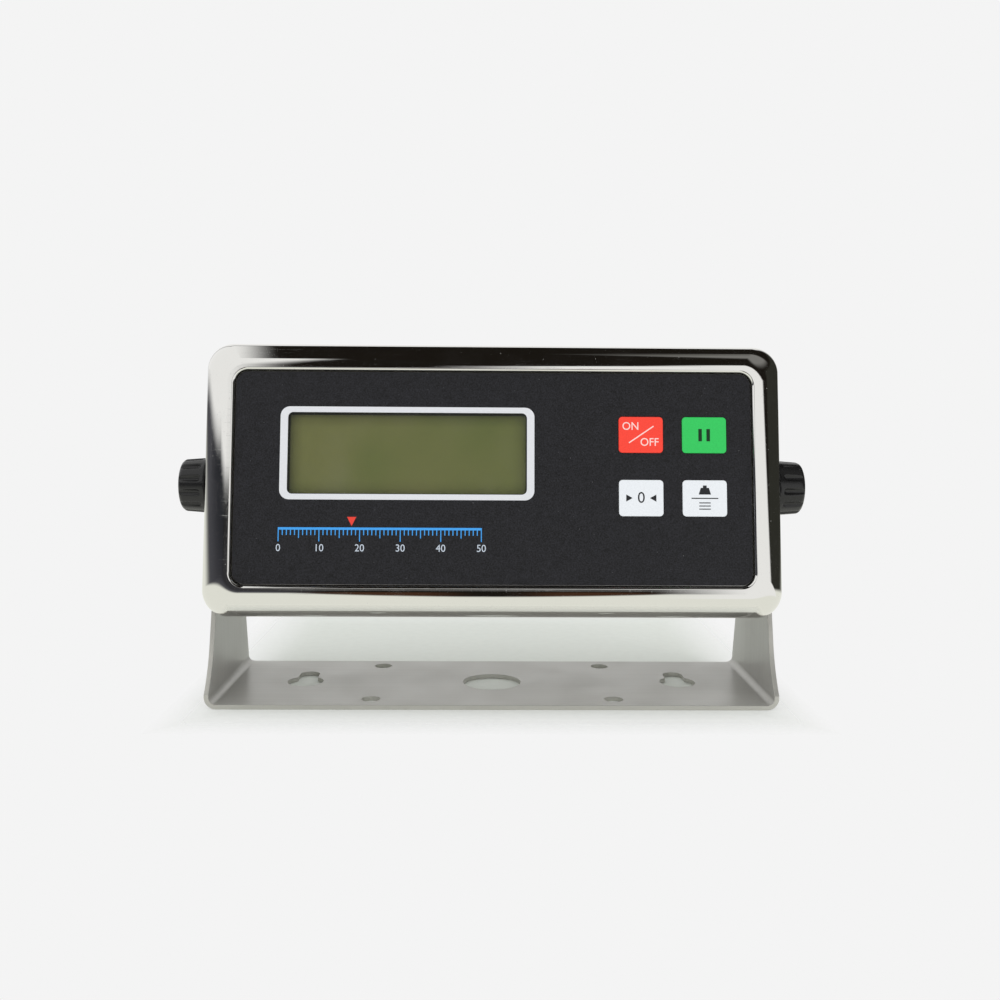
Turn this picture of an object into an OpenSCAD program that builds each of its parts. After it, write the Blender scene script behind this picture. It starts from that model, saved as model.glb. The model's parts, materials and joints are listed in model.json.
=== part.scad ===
// Weighing indicator: a polished stainless case that tilts on a brushed stainless U bracket.
// The origin is the centre of the bracket's large hole, on the bracket's underside.
// X runs to the viewer's right, Y to the back and Z up. All lengths are in millimetres.

/* [Front cover] */
// Width of the front cover
cover_w = 244; // [232:1:260]
// Height of the front cover
cover_h = 116; // [112:1:124]
// Depth of the front cover from its rim to its back edge
cover_d = 14.4; // [14:0.2:16]
// Radius of the cover's rounded edges and corners
edge_r = 11; // [9:0.5:11]
// Thickness of the case's sheet steel
sheet_t = 1.2; // [1:0.1:1.4]
// How far the rim stands in front of the keypad
rim_proud = 1.3; // [1:0.1:1.8]
// Bare step between the keypad's edge and the recess wall
recess_gap = 0.6; // [0.4:0.1:0.9]

/* [Keypad] */
// Border from the cover's side to the keypad's side edge
panel_border_x = 14.2; // [13:0.2:16]
// Border from the cover's top to the keypad's top edge
panel_border_z = 13.6; // [13:0.2:15]
// Corner radius of the keypad
overlay_r = 5; // [3:0.5:6]
// Thickness of the printed top sheet
overlay_t = 0.5; // [0.4:0.05:0.7]
// Thickness of the circuit sheet under it
circuit_t = 0.5; // [0.5:0.05:0.7]
// Width of a key
key_w = 18.6; // [16:0.2:20]
// Height of a key
key_h = 15.2; // [13:0.2:17]
// Corner radius of a key
key_r = 1.6; // [1:0.1:2.5]
// Spacing of the keys, sideways
key_pitch_x = 26.6; // [23:0.2:28]
// Spacing of the keys, upwards
key_pitch_z = 26.6; // [22:0.2:28]
// From the keypad's right edge to the right keys
key_inset_x = 10.4; // [8:0.2:14]
// From the keypad's top edge to the top keys
key_inset_z = 18.3; // [14:0.2:20]
// How far a key stands in front of the top sheet
key_proud = 0.3; // [0.2:0.05:0.5]
// Travel of a key
key_travel = 0.25; // [0.15:0.01:0.3]
// Gap left behind a fully pressed key
press_room = 0.03; // [0.02:0.01:0.1]
// Gap round a key
key_gap = 0.15; // [0.1:0.01:0.3]
// Diameter of a snap dome
dome_d = 8; // [7:0.2:10]
// Height of a snap dome
dome_h = 0.4; // [0.3:0.02:0.44]
// Gap round a snap dome
dome_gap = 1; // [0.5:0.1:1.5]

/* [Display] */
// From the display's white border to the first column of keys
display_gap = 35.3; // [30:0.1:42]
// Height of the white border
border_h = 39; // [38:0.5:44]
// Corner radius of the white border
border_r = 4; // [3:0.5:5]
// Width of the border's sides
border_side = 3.1; // [2.6:0.1:3.6]
// Width of the border's top and bottom
border_end = 2.35; // [2:0.05:2.8]
// From the keypad's left edge to the border
display_inset_x = 18.7; // [14:0.1:24]
// From the keypad's top edge to the border
display_inset_z = 14.7; // [10:0.1:20]
// Corner radius of the window
window_r = 2.2; // [1.6:0.1:3]
// Clear edge between the window and the hole in the steel
window_edge = 0.6; // [0.4:0.1:0.8]
// How much larger than the window the liquid crystal glass is, each side
glass_edge = 1.6; // [1.2:0.1:2.2]
// Thickness of the liquid crystal glass
glass_t = 2.8; // [2:0.1:3.4]
// Wall of the display's plastic frame
frame_wall = 2.6; // [2:0.1:3.2]

/* [Rear housing] */
// Overall depth of the case, from the rim to the back
body_d = 64; // [60:0.5:74]
// Step from the cover's side to the housing's side
side_step = 5; // [4:0.1:5.4]
// Radius of the housing's rounded edges
housing_r = 8; // [7:0.5:9]
// How far the housing reaches into the cover
lap_d = 9; // [7:0.5:9.5]
// Depth of the rubber seal between cover and housing
seal_d = 3.4; // [2.6:0.1:3.4]
// How far the seal sits inside the cover's back edge
seal_inset = 0.6; // [0.4:0.1:0.7]
// Gap on each side of the seal
seal_gap = 0.1; // [0.05:0.01:0.15]

/* [Tilt] */
// From the tilt axis to the keypad's face
pivot_to_face = 37.7; // [36:0.1:40]
// Height of the tilt axis above the bracket's underside
pivot_h = 90.5; // [88:0.5:110]
// How far the tilt axis lies behind the bracket's centre
pivot_back = 6; // [3:0.5:8]
// How far the face leans back, in degrees
lean = 10; // [8:1:40]
// Thickness of the rubber pads beside the housing
pad_t = 1.5; // [1.2:0.1:2.5]
// Diameter of the rubber pads
pad_d = 22; // [18:0.5:24]
// Clearance between faces that turn on each other
slip_gap = 0.05; // [0.03:0.01:0.1]

/* [Bracket] */
// Thickness of the bracket's plate
bracket_t = 2; // [1.5:0.1:3]
// Depth of the bracket's base
base_d = 75; // [72:0.5:85]
// Inside radius of the bends
bend_r = 3; // [2:0.5:4]
// Radius of an arm's rounded top
arm_top_r = 12.5; // [12:0.5:15]
// Height at which an arm's front edge starts to flare
arm_waist_h = 26; // [22:0.5:30]
// How far that point lies in front of the bracket's centre
arm_waist_front = 26.3; // [25:0.1:28]
// Height of the arm's full-width foot
arm_foot_h = 6; // [5.5:0.5:8]

/* [Mounting holes] */
// Diameter of the large centre hole
centre_hole_d = 26; // [20:0.5:30]
// Diameter of the four bolt holes
bolt_hole_d = 8; // [6:0.5:9]
// Sideways spacing of the bolt holes
bolt_spacing_x = 104; // [90:1:110]
// From the base's front or back edge to a bolt hole's centre
bolt_inset = 9.5; // [8:0.5:14]
// From the bracket's side to a keyhole's centre
keyhole_inset = 36; // [32:0.5:42]
// Diameter of a keyhole's round end
keyhole_head_d = 16; // [12:0.5:17]
// Width of a keyhole's narrow slot
keyhole_slot_w = 9; // [6:0.5:10]
// From the round end's centre to the slot end's centre
keyhole_reach = 12.5; // [11:0.5:15]

/* [Knobs] */
// Diameter of a knob's grip at its inner end
grip_d = 24.8; // [20:0.2:30]
// How much smaller the grip's radius is at its outer end
grip_taper = 0.7; // [0:0.1:1]
// Length of the grip, without its domed end
grip_l = 12; // [11:0.1:18]
// Rise of the domed end
grip_dome = 1; // [0.5:0.1:2]
// Rounding of the grip's outer edge
grip_edge_r = 2.2; // [1:0.1:3]
// Number of flutes round the grip
flute_count = 12; // [8:1:16]
// Diameter of a flute
flute_d = 3; // [2:0.1:3.4]
// Length of a flute
flute_l = 8.5; // [6:0.5:10]
// Diameter of the knob's shoulder
hub_d = 14; // [12:0.5:16]
// Length of the shoulder
hub_l = 5.4; // [2:0.1:6]
// Thread diameter of the knob's stud
stud_d = 6; // [5:0.5:6]
// How deep the stud sits in the knob
stud_grip_l = 8; // [6:0.5:10]
// How far the stud reaches past the weld nut
stud_tip_l = 3.5; // [1:0.5:4]
// Radial room round the stud where it passes through
stud_room = 0.3; // [0.2:0.05:0.5]
// Radial clearance in a thread
thread_gap = 0.05; // [0.03:0.01:0.08]
// Diameter of the flat washer
washer_d = 16; // [14:0.5:18]
// Thickness of the flat washer
washer_t = 1; // [0.8:0.1:1.6]
// Width across flats of a weld nut
nut_flats = 10; // [9:0.5:12]
// Thickness of a weld nut
nut_t = 5; // [4:0.5:6]

/* [Case fasteners] */
// From the cover's side to a post's centre
post_inset = 18; // [17:0.5:20]
// Diameter of a post
post_d = 8; // [7:0.5:8]
// Thread diameter of the case screws
case_screw_d = 4; // [3:0.5:4]
// Length of a case screw's thread
case_screw_l = 10; // [8:1:14]
// Depth left below a screw's tip
blind_room = 2; // [1:0.5:4]
// Thickness of a case screw's washer
case_washer_t = 0.8; // [0.5:0.1:1]

/* [Circuit board] */
// Gap between the main board's sides and the posts
board_side_room = 7; // [5:0.5:10]
// Gap between the main board and the housing's wall, above and below
board_end_room = 10.8; // [9:0.2:13]
// Thickness of the main board
board_t = 1.6; // [1.2:0.1:2]
// Length of the board's standoffs
standoff_l = 9; // [8:0.5:12]
// Diameter of a standoff
standoff_d = 6; // [5:0.5:6]
// From the board's edge to a standoff's centre
standoff_inset = 4; // [3.5:0.5:5]
// Thread diameter of the board screws
board_screw_d = 3; // [2.5:0.5:3]
// Length of a board screw's thread
board_screw_l = 6; // [5:1:7]
// Side of the processor chip
chip_w = 14; // [10:1:16]
// Thickness of a chip
chip_t = 1.6; // [1:0.1:2]
// Width of the converter's screening can
can_w = 26; // [22:1:30]
// Height of the screening can
can_h = 20; // [16:1:24]
// Depth of the screening can
can_t = 5; // [4:0.5:7]
// Diameter of a capacitor
cap_d = 8; // [6:0.5:10]
// Length of a capacitor
cap_l = 11; // [8:0.5:12]
// Number of capacitors
cap_count = 3; // [2:1:3]
// Diameter of the buzzer
buzzer_d = 12; // [9:0.5:14]
// Height of the buzzer
buzzer_l = 8; // [6:0.5:10]
// Width of a wire header
header_w = 10; // [8:0.5:12]
// Height of a wire header
header_h = 6; // [5:0.5:7]
// Depth of a wire header
header_t = 7; // [5:0.5:8]

/* [Battery] */
// From the posts' sides to the battery
battery_side_room = 4; // [3:0.5:8]
// From the battery's other end to the centre of the power inlet
battery_end_room = 21; // [18:0.5:26]
// Height of the battery
battery_h = 52; // [45:1:60]
// Thickness of the battery
battery_t = 24; // [18:1:24]
// Thickness of the strap that holds it
strap_t = 1; // [0.8:0.1:1.5]
// Width of the strap
strap_w = 20; // [15:1:30]
// Length of the strap's feet
strap_foot_l = 11; // [10:0.5:12]
// Diameter of a wire with its sleeve
wire_d = 1.6; // [1.2:0.1:2]

/* [Connectors] */
// Thread diameter of the load cell socket
cell_d = 15; // [12:0.5:16]
// How far the load cell socket stands out of the back
cell_out = 9; // [7:0.5:12]
// Wall of the load cell socket
cell_wall = 1.8; // [1.2:0.1:2.2]
// Width of the serial socket's shell
serial_w = 17; // [16:0.5:18]
// Height of the serial socket's shell
serial_h = 8.4; // [7:0.2:9]
// How far the serial socket stands out
serial_out = 5.5; // [5:0.1:6]
// Width of the serial socket's flange
serial_flange_w = 30.8; // [30:0.2:32]
// Height of the serial socket's flange
serial_flange_h = 12.6; // [12:0.2:14]
// Thickness of the serial socket's flange
serial_flange_t = 1; // [0.8:0.1:1.2]
// Spacing of the serial socket's two jack screws
jack_screw_spacing = 25; // [24:0.1:25]
// Thread diameter of the power inlet
inlet_d = 11; // [8:0.5:12]
// How far the power inlet stands out of the back
inlet_out = 2; // [1.5:0.1:3]
// Diameter of the power inlet's bore
inlet_bore_d = 5.6; // [5:0.1:6]
// Diameter of the power inlet's centre pin
inlet_pin_d = 2.1; // [1.6:0.1:2.5]
// Height of the connectors below the tilt axis
socket_drop = 20; // [16:1:24]
// From the cover's side to the centre of the load cell socket
cell_inset = 38; // [36:0.5:42]
// From there to the centre of the serial socket
serial_spacing = 32; // [30:0.5:36]
// From there to the centre of the power inlet
inlet_spacing = 30; // [28:0.5:34]

/* [Hidden] */
$fn = 64;
HEX = 6;
DOME_FN = 256;

// one overrun serves every cut that has to leave the solid
over = 1;

// depths in the case's own frame, whose origin is the tilt axis and whose Y runs to the back
face_y = -pivot_to_face;
rim_y = face_y - rim_proud;
circuit_y = face_y + overlay_t;
floor_y = circuit_y + circuit_t;
floor_back_y = floor_y + sheet_t;
cover_back_y = rim_y + cover_d;
housing_front_y = cover_back_y - lap_d;
rear_y = rim_y + body_d;
wall_y = rear_y - sheet_t;
board_y = floor_back_y + standoff_l;
board_back_y = board_y + board_t;

// outlines that follow the cover
housing_w = cover_w - 2 * side_step;
housing_h = cover_h - 2 * side_step;
overlay_w = cover_w - 2 * panel_border_x;
overlay_h = cover_h - 2 * panel_border_z;
recess_w = overlay_w + 2 * recess_gap;
recess_h = overlay_h + 2 * recess_gap;
recess_r = overlay_r + recess_gap;

// sizes and places on the keypad
border_w = overlay_w - display_inset_x - display_gap - key_pitch_x - key_w - key_inset_x;
key_t = key_proud + overlay_t - key_travel - press_room;
display_x = -overlay_w / 2 + display_inset_x + border_w / 2;
display_z = overlay_h / 2 - display_inset_z - border_h / 2;
window_w = border_w - 2 * border_side;
window_h = border_h - 2 * border_end;
key_x = overlay_w / 2 - key_inset_x - key_w / 2;
key_z = overlay_h / 2 - key_inset_z - key_h / 2;
key_places = [[key_x - key_pitch_x, key_z], [key_x, key_z],
    [key_x - key_pitch_x, key_z - key_pitch_z], [key_x, key_z - key_pitch_z]];
tail_w = 12;
tail_t = 0.3;
tail_x = key_x - key_pitch_x / 2;
tail_z = key_z - key_pitch_z / 2;
tail_slot_h = 2;
tail_socket_side = 1.5;
tail_socket_w = tail_w + 2 * tail_socket_side;
tail_socket_h = 5;
tail_socket_t = 2.4;

// fasteners of the case, and the board that stands between its posts
post_x = cover_w / 2 - post_inset;
post_z = cover_h / 2 - post_inset;
post_places = [for (sx = [-1, 1], sz = [-1, 1]) [sx * post_x, sz * post_z]];
board_w = 2 * (post_x - post_d / 2 - board_side_room);
board_h = housing_h - 2 * (sheet_t + board_end_room);
standoff_x = board_w / 2 - standoff_inset;
standoff_z = board_h / 2 - standoff_inset;
standoff_places = [for (sx = [-1, 1], sz = [-1, 1]) [sx * standoff_x, sz * standoff_z]];
head_d_share = 2;
head_h_share = 0.62;
cross_w_share = 0.22;
cross_l_share = 1.1;
cross_deep_share = 0.55;
washer_d_share = 2.3;
nut_flats_share = 1.3;
nut_t_share = 0.22;

// display stack
glass_w = window_w + 2 * glass_edge;
glass_h = window_h + 2 * glass_edge;
fit_gap = 0.2;
glass_y = floor_back_y + fit_gap;
light_y = glass_y + glass_t + fit_gap;
pin_inset = 0.7;
light_inset = 1.4;
pin_w = 0.5;
pin_side = 7.5;
pin_count = 12;
pin_pitch = (glass_w - 2 * pin_side) / (pin_count - 1);

// the bracket and what turns at its arms
housing_side = housing_w / 2;
pad_x = housing_side + slip_gap;
arm_x = pad_x + pad_t + slip_gap;
bracket_w = 2 * (arm_x + bracket_t);
bend_x = arm_x - bend_r;
keyhole_x = bracket_w / 2 - keyhole_inset;
bolt_y = base_d / 2 - bolt_inset;
washer_x = arm_x + bracket_t + slip_gap;
hub_x = washer_x + washer_t + slip_gap;
grip_x = hub_x + hub_l;
nut_x = housing_side - sheet_t;
stud_inner_x = nut_x - nut_t - stud_tip_l;
stud_outer_x = hub_x + stud_grip_l;
stud_hole_d = stud_d + 2 * stud_room;
flute_turns = [13, 21];

// connectors, from the right, and the battery and its strap on the left of the rear wall
cell_x = cover_w / 2 - cell_inset;
serial_x = cell_x - serial_spacing;
inlet_x = serial_x - inlet_spacing;
battery_left = -post_x + post_d / 2 + battery_side_room;
battery_right = inlet_x - battery_end_room;
battery_w = battery_right - battery_left;
battery_x = (battery_left + battery_right) / 2;
battery_y = wall_y - fit_gap - battery_t;
battery_case_r = 2;
terminal_w = 5;
terminal_h = 6;
terminal_t = 0.8;
strap_in_h = battery_h + 2 * fit_gap;
strap_out_h = strap_in_h + 2 * strap_t;
strap_front_y = battery_y - fit_gap - strap_t;
strap_screw_z = strap_out_h / 2 + strap_foot_l / 2;
strap_screw_places = [for (sz = [-1, 1]) [battery_x, sz * strap_screw_z]];
strap_screw_l = 2.4;

// parts on the back of the board, at shares of its width and height from its centre
chip_place_shares = [[-0.11, 0.14], [0.09, 0.24]];
can_place_shares = [0.31, -0.07];
cap_place_shares = [-0.32, 0.29];
cap_room = 4;
buzzer_place_shares = [-0.39, -0.24];
header_x_shares = [-0.19, 0.16, 0.03];
header_inset = 12;
header_z = -board_h / 2 + header_inset;
header_places = [for (share = header_x_shares) [share * board_w, header_z]];
header_lip = 1;
lead_rise = 3;

// sockets
cell_place = [cell_x, -socket_drop];
serial_place = [serial_x, -socket_drop];
inlet_place = [inlet_x, -socket_drop];
cell_flange_t = 1.6;
cell_flange_lip = 2;
cell_flange_d = cell_d + 2 * cell_flange_lip;
cell_in = 6;
cell_recess = 2.5;
cell_pin_d = 1.5;
cell_pin_ring_share = 0.56;
cell_pins = 5;
serial_shell_t = 0.8;
serial_slope = 10;
serial_in = 5;
serial_top_pins = 5;
serial_pin_pitch = 2.76;
serial_row_gap = 2.84;
serial_pin_d = 1.2;
serial_pin_deep = 4;
jack_screw_d = 5;
jack_screw_l = 4.8;
inlet_flange_lip = 1.25;
inlet_flange_d = inlet_d + 2 * inlet_flange_lip;
inlet_in = 9;
inlet_floor = 2;
lead_bend_y = (board_back_y + wall_y) / 2;
wire_bend_share = 1.1;

// helpers: everything in the case is drawn in the case's own frame
module on_case() {
    translate([0, pivot_back, pivot_h]) rotate([-lean, 0, 0]) children();
}

module rounded_rect(w, h, r) {
    square([w - 2 * r, h], center = true);
    square([w, h - 2 * r], center = true);
    for (sx = [-1, 1], sz = [-1, 1])
        translate([sx * (w / 2 - r), sz * (h / 2 - r)]) circle(r = r);
}

// a flat plate with round corners that faces the viewer
module slab(w, h, r, y0, y1) {
    translate([0, y1, 0]) rotate([90, 0, 0]) linear_extrude(y1 - y0) rounded_rect(w, h, r);
}

module block(w, h, y0, y1) {
    translate([-w / 2, y0, -h / 2]) cube([w, y1 - y0, h]);
}

module rod_y(d, y0, y1) {
    translate([0, y1, 0]) rotate([90, 0, 0]) cylinder(d = d, h = y1 - y0);
}

module rod_x(d, x0, x1) {
    translate([x0, 0, 0]) rotate([0, 90, 0]) cylinder(d = d, h = x1 - x0);
}

module at(place) {
    translate([place.x, 0, place.y]) children();
}

// a box with round upright edges and a round front, flat at the back
module pillow(w, h, y0, y1, r) {
    flat_w = w - 2 * r;
    flat_h = h - 2 * r;
    slab(w, h, r, y0 + r, y1);
    block(flat_w, flat_h, y0, y1);
    for (sx = [-1, 1]) {
        translate([sx * flat_w / 2, y0 + r, -flat_h / 2]) cylinder(r = r, h = flat_h);
        translate([0, y0 + r, sx * flat_h / 2]) rod_x(2 * r, -flat_w / 2, flat_w / 2);
        for (sz = [-1, 1]) translate([sx * flat_w / 2, y0 + r, sz * flat_h / 2]) sphere(r = r);
    }
}

// a pan head screw: its seat is at y = 0, its head behind and its thread in front
module pan_screw(d, l) {
    head_d = d * head_d_share;
    head_h = d * head_h_share;
    difference() {
        union() {
            rod_y(head_d, 0, head_h);
            rod_y(d, -l, 0);
        }
        for (turn = [0, 90])
            rotate([0, turn, 0])
                block(d * cross_l_share, d * cross_w_share, head_h * (1 - cross_deep_share), head_h + over);
    }
}

module ring_y(outer_d, inner_d, y0, y1) {
    difference() {
        rod_y(outer_d, y0, y1);
        rod_y(inner_d, y0 - over, y1 + over);
    }
}

module hex_nut_y(flats, bore_d, y0, y1) {
    difference() {
        translate([0, y1, 0]) rotate([90, 0, 0]) cylinder(d = flats / cos(180 / HEX), h = y1 - y0, $fn = HEX);
        rod_y(bore_d, y0 - over, y1 + over);
    }
}

// a sleeved wire along a list of points
module wire(points) {
    for (i = [0:len(points) - 2]) {
        a = points[i];
        b = points[i + 1];
        v = b - a;
        translate(a) rotate([0, acos(v.z / norm(v)), atan2(v.y, v.x)]) cylinder(d = wire_d, h = norm(v));
    }
    for (i = [1:len(points) - 2]) translate(points[i]) sphere(d = wire_d * wire_bend_share);
}

// the bracket: one plate bent into a channel, its arms cut to an outline
function unit(v) = v / norm(v);
function touch_point(p, centre, r, side) =
    let (away = p - centre, turn = side * acos(r / norm(away)), base = atan2(away.y, away.x))
    centre + r * [cos(base + turn), sin(base + turn)];
function arc_points(centre, a, b, steps) =
    let (ra = a - centre, rb = b - centre, from = atan2(ra.y, ra.x), sweep = atan2(cross(ra, rb), ra * rb))
    [for (i = [0:steps]) centre + norm(ra) * [cos(from + sweep * i / steps), sin(from + sweep * i / steps)]];

FLARE_STEPS = 8;
arm_centre = [pivot_back, pivot_h];
waist = [-arm_waist_front, arm_waist_h];
front_foot = [-base_d / 2, arm_foot_h];
rear_foot = [base_d / 2, arm_foot_h];
front_touch = touch_point(waist, arm_centre, arm_top_r, -1);
rear_touch = touch_point(rear_foot, arm_centre, arm_top_r, 1);
taper = unit(waist - front_touch);
flare_side = [taper.y, -taper.x];
flare_chord = front_foot - waist;
flare_centre = waist + flare_side * (flare_chord * flare_chord) / (2 * flare_chord * flare_side);

module arm_outline() {
    polygon(concat([[-base_d / 2, 0], [base_d / 2, 0], rear_foot, rear_touch, arm_centre, front_touch],
        arc_points(flare_centre, waist, front_foot, FLARE_STEPS)));
    translate(arm_centre) circle(r = arm_top_r);
}

module channel_outline(w, h, r) {
    translate([-w / 2, r]) square([w, h - r]);
    translate([-w / 2 + r, 0]) square([w - 2 * r, r]);
    for (sx = [-1, 1]) translate([sx * (w / 2 - r), r]) circle(r = r);
}

module keyhole() {
    circle(d = keyhole_head_d);
    translate([-keyhole_slot_w / 2, 0]) square([keyhole_slot_w, keyhole_reach]);
    translate([0, keyhole_reach]) circle(d = keyhole_slot_w);
}

// the base is the flat between the two bends
module bracket_base() {
    color("#a8a8a4") linear_extrude(bracket_t) difference() {
        square([2 * bend_x, base_d], center = true);
        circle(d = centre_hole_d);
        for (sx = [-1, 1]) {
            translate([sx * keyhole_x, 0]) keyhole();
            for (sy = [-1, 1])
                translate([sx * bolt_spacing_x / 2, sy * bolt_y]) circle(d = bolt_hole_d);
        }
    }
}

// an arm carries on from the base through its bend
module bracket_arm(side) {
    top_h = pivot_h + arm_top_r + over;
    color("#a8a8a4") mirror([side, 0, 0]) difference() {
        intersection() {
            rotate([90, 0, 0]) linear_extrude(base_d, center = true) difference() {
                channel_outline(bracket_w, top_h, bend_r + bracket_t);
                translate([0, bracket_t]) channel_outline(bracket_w - 2 * bracket_t, top_h, bend_r);
            }
            translate([bend_x, 0, 0]) rotate([90, 0, 90])
                linear_extrude(bend_r + bracket_t + over) arm_outline();
        }
        translate([0, pivot_back, pivot_h]) rod_x(stud_hole_d, bend_x, bracket_w);
    }
}

module pivot_pads() {
    color("#1d1d1d") translate([0, pivot_back, pivot_h]) for (side = [0, 1])
        mirror([side, 0, 0]) difference() {
            rod_x(pad_d, pad_x, pad_x + pad_t);
            rod_x(stud_hole_d, pad_x - over, pad_x + pad_t + over);
        }
}

// the case
module front_cover() {
    cut_w = window_w + 2 * window_edge;
    cut_h = window_h + 2 * window_edge;
    color("#d4d4d2") on_case() difference() {
        union() {
            difference() {
                pillow(cover_w, cover_h, rim_y, cover_back_y, edge_r);
                pillow(cover_w - 2 * sheet_t, cover_h - 2 * sheet_t, rim_y + sheet_t,
                    cover_back_y + over, edge_r - sheet_t);
            }
            slab(recess_w + 2 * sheet_t, recess_h + 2 * sheet_t, recess_r + sheet_t,
                rim_y + sheet_t / 2, floor_back_y);
        }
        block(cover_w + over, cover_h + over, cover_back_y, rim_y + 2 * edge_r + over);
        slab(recess_w, recess_h, recess_r, rim_y - over, floor_y);
        at([display_x, display_z]) slab(cut_w, cut_h, window_r, floor_y - over, floor_back_y + over);
        at([tail_x, tail_z]) block(tail_w + 2 * fit_gap, tail_slot_h, floor_y - over, floor_back_y + over);
    }
}

module serial_outline(w, h) {
    lean_in = h * tan(serial_slope) / 2;
    polygon([[-w / 2, h / 2], [w / 2, h / 2], [w / 2 - 2 * lean_in, -h / 2], [-w / 2 + 2 * lean_in, -h / 2]]);
}

module serial_prism(w, h, y0, y1) {
    translate([0, y1, 0]) rotate([90, 0, 0]) linear_extrude(y1 - y0) serial_outline(w, h);
}

module rear_housing() {
    color("#c4c4c2") on_case() difference() {
        mirror([0, 1, 0]) pillow(housing_w, housing_h, -rear_y, -housing_front_y, housing_r);
        mirror([0, 1, 0]) pillow(housing_w - 2 * sheet_t, housing_h - 2 * sheet_t, -wall_y,
            -housing_front_y + over, housing_r - sheet_t);
        rod_x(stud_hole_d, -housing_w, housing_w);
        for (place = post_places) at(place) rod_y(case_screw_d + 2 * stud_room, wall_y - over, rear_y + over);
        for (place = strap_screw_places)
            at(place) rod_y(board_screw_d + 2 * thread_gap, wall_y - over, rear_y + over);
        at(cell_place) rod_y(cell_d + 2 * fit_gap, wall_y - over, rear_y + over);
        at(inlet_place) rod_y(inlet_d + 2 * fit_gap, wall_y - over, rear_y + over);
        at(serial_place) {
            serial_prism(serial_w + 2 * fit_gap, serial_h + 2 * fit_gap, wall_y - over, rear_y + over);
            for (sx = [-1, 1]) translate([sx * jack_screw_spacing / 2, 0, 0])
                rod_y(board_screw_d + 2 * thread_gap, wall_y - over, rear_y + over);
        }
    }
}

module case_seal() {
    y1 = cover_back_y - seal_inset;
    y0 = y1 - seal_d;
    outer_w = cover_w - 2 * (sheet_t + seal_gap);
    outer_h = cover_h - 2 * (sheet_t + seal_gap);
    color("#2a2a2a") on_case() difference() {
        slab(outer_w, outer_h, edge_r - sheet_t - seal_gap, y0, y1);
        slab(housing_w + 2 * seal_gap, housing_h + 2 * seal_gap, housing_r + seal_gap, y0 - over, y1 + over);
    }
}

module case_posts() {
    color("#b8b8b8") on_case() for (place = post_places) at(place) difference() {
        rod_y(post_d, floor_back_y, wall_y);
        rod_y(case_screw_d + 2 * thread_gap, wall_y - case_screw_l - blind_room, wall_y + over);
    }
}

module case_screws() {
    color("#8e9094") on_case() for (place = post_places) at(place)
        translate([0, rear_y + case_washer_t, 0]) pan_screw(case_screw_d, case_screw_l);
}

module case_washers() {
    color("#b8b8b8") on_case() for (place = post_places) at(place)
        ring_y(case_screw_d * washer_d_share, case_screw_d + 2 * stud_room, rear_y, rear_y + case_washer_t);
}

module weld_nuts() {
    color("#a9a9a9") on_case() for (side = [0, 1]) mirror([side, 0, 0]) difference() {
        translate([nut_x - nut_t, 0, 0]) rotate([0, 90, 0])
            cylinder(d = nut_flats / cos(180 / HEX), h = nut_t, $fn = HEX);
        rod_x(stud_d + 2 * thread_gap, nut_x - nut_t - over, nut_x + over);
    }
}

// the keypad
module keypad_overlay() {
    color("#26272b") on_case() difference() {
        slab(overlay_w, overlay_h, overlay_r, face_y, circuit_y);
        at([display_x, display_z]) slab(border_w, border_h, border_r, face_y - over, circuit_y + over);
        for (place = key_places) at(place)
            slab(key_w + 2 * key_gap, key_h + 2 * key_gap, key_r + key_gap, face_y - over, circuit_y + over);
    }
}

module display_border() {
    color("#dfe1ea") on_case() at([display_x, display_z]) difference() {
        slab(border_w, border_h, border_r, face_y, circuit_y);
        slab(window_w, window_h, window_r, face_y - over, circuit_y + over);
    }
}

module display_window() {
    color("#c8d0c0", 0.4) on_case() at([display_x, display_z])
        slab(window_w, window_h, window_r, face_y, circuit_y);
}

module keypad_circuit() {
    color("#c9b98f") on_case() difference() {
        slab(overlay_w, overlay_h, overlay_r, circuit_y, floor_y);
        at([display_x, display_z]) slab(window_w + 2 * window_edge, window_h + 2 * window_edge, window_r,
            circuit_y - over, floor_y + over);
        for (place = key_places) at(place) rod_y(dome_d + 2 * dome_gap, circuit_y - over, floor_y + over);
        at([tail_x, tail_z]) block(tail_w + 2 * fit_gap, tail_slot_h, circuit_y - over, floor_y + over);
    }
}

module key_domes() {
    ball_r = (pow(dome_d / 2, 2) + pow(dome_h, 2)) / (2 * dome_h);
    color("#cfcfcf") on_case() for (place = key_places) at(place)
        translate([0, floor_y, 0]) rotate([90, 0, 0]) rotate_extrude() intersection() {
            translate([0, dome_h - ball_r]) circle(r = ball_r, $fn = DOME_FN);
            square([dome_d, dome_h]);
        }
}

// the printed tail folds through its slot and runs down behind the floor to the board
module keypad_tail() {
    drop = tail_slot_h / 2 - tail_t;
    run = board_y - tail_t - floor_y;
    color("#b98a3e") on_case() at([tail_x, tail_z]) {
        translate([-tail_w / 2, circuit_y, drop]) cube([tail_w, board_y - circuit_y, tail_t]);
        translate([-tail_w / 2, board_y - tail_t, drop - run]) cube([tail_w, tail_t, run]);
    }
}

// the small clamp on the board's front that takes the tail's end
module tail_socket() {
    drop = tail_slot_h / 2 - tail_t;
    end_z = drop - (board_y - tail_t - floor_y);
    color("#e4e0d0") on_case() at([tail_x, tail_z + end_z]) difference() {
        block(tail_socket_w, tail_socket_h, board_y - tail_socket_t, board_y);
        translate([0, 0, tail_socket_h / 2]) block(tail_w + 2 * fit_gap, tail_socket_h + 2 * fit_gap,
            board_y - tail_t - thread_gap, board_y + over);
    }
}

module key(index) {
    on_case() at(key_places[index])
        slab(key_w, key_h, key_r, face_y - key_proud, face_y - key_proud + key_t);
}

// the display
module lcd_glass() {
    color("#6c7048") on_case() at([display_x, display_z])
        block(glass_w, glass_h, glass_y, glass_y + glass_t);
}

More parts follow.
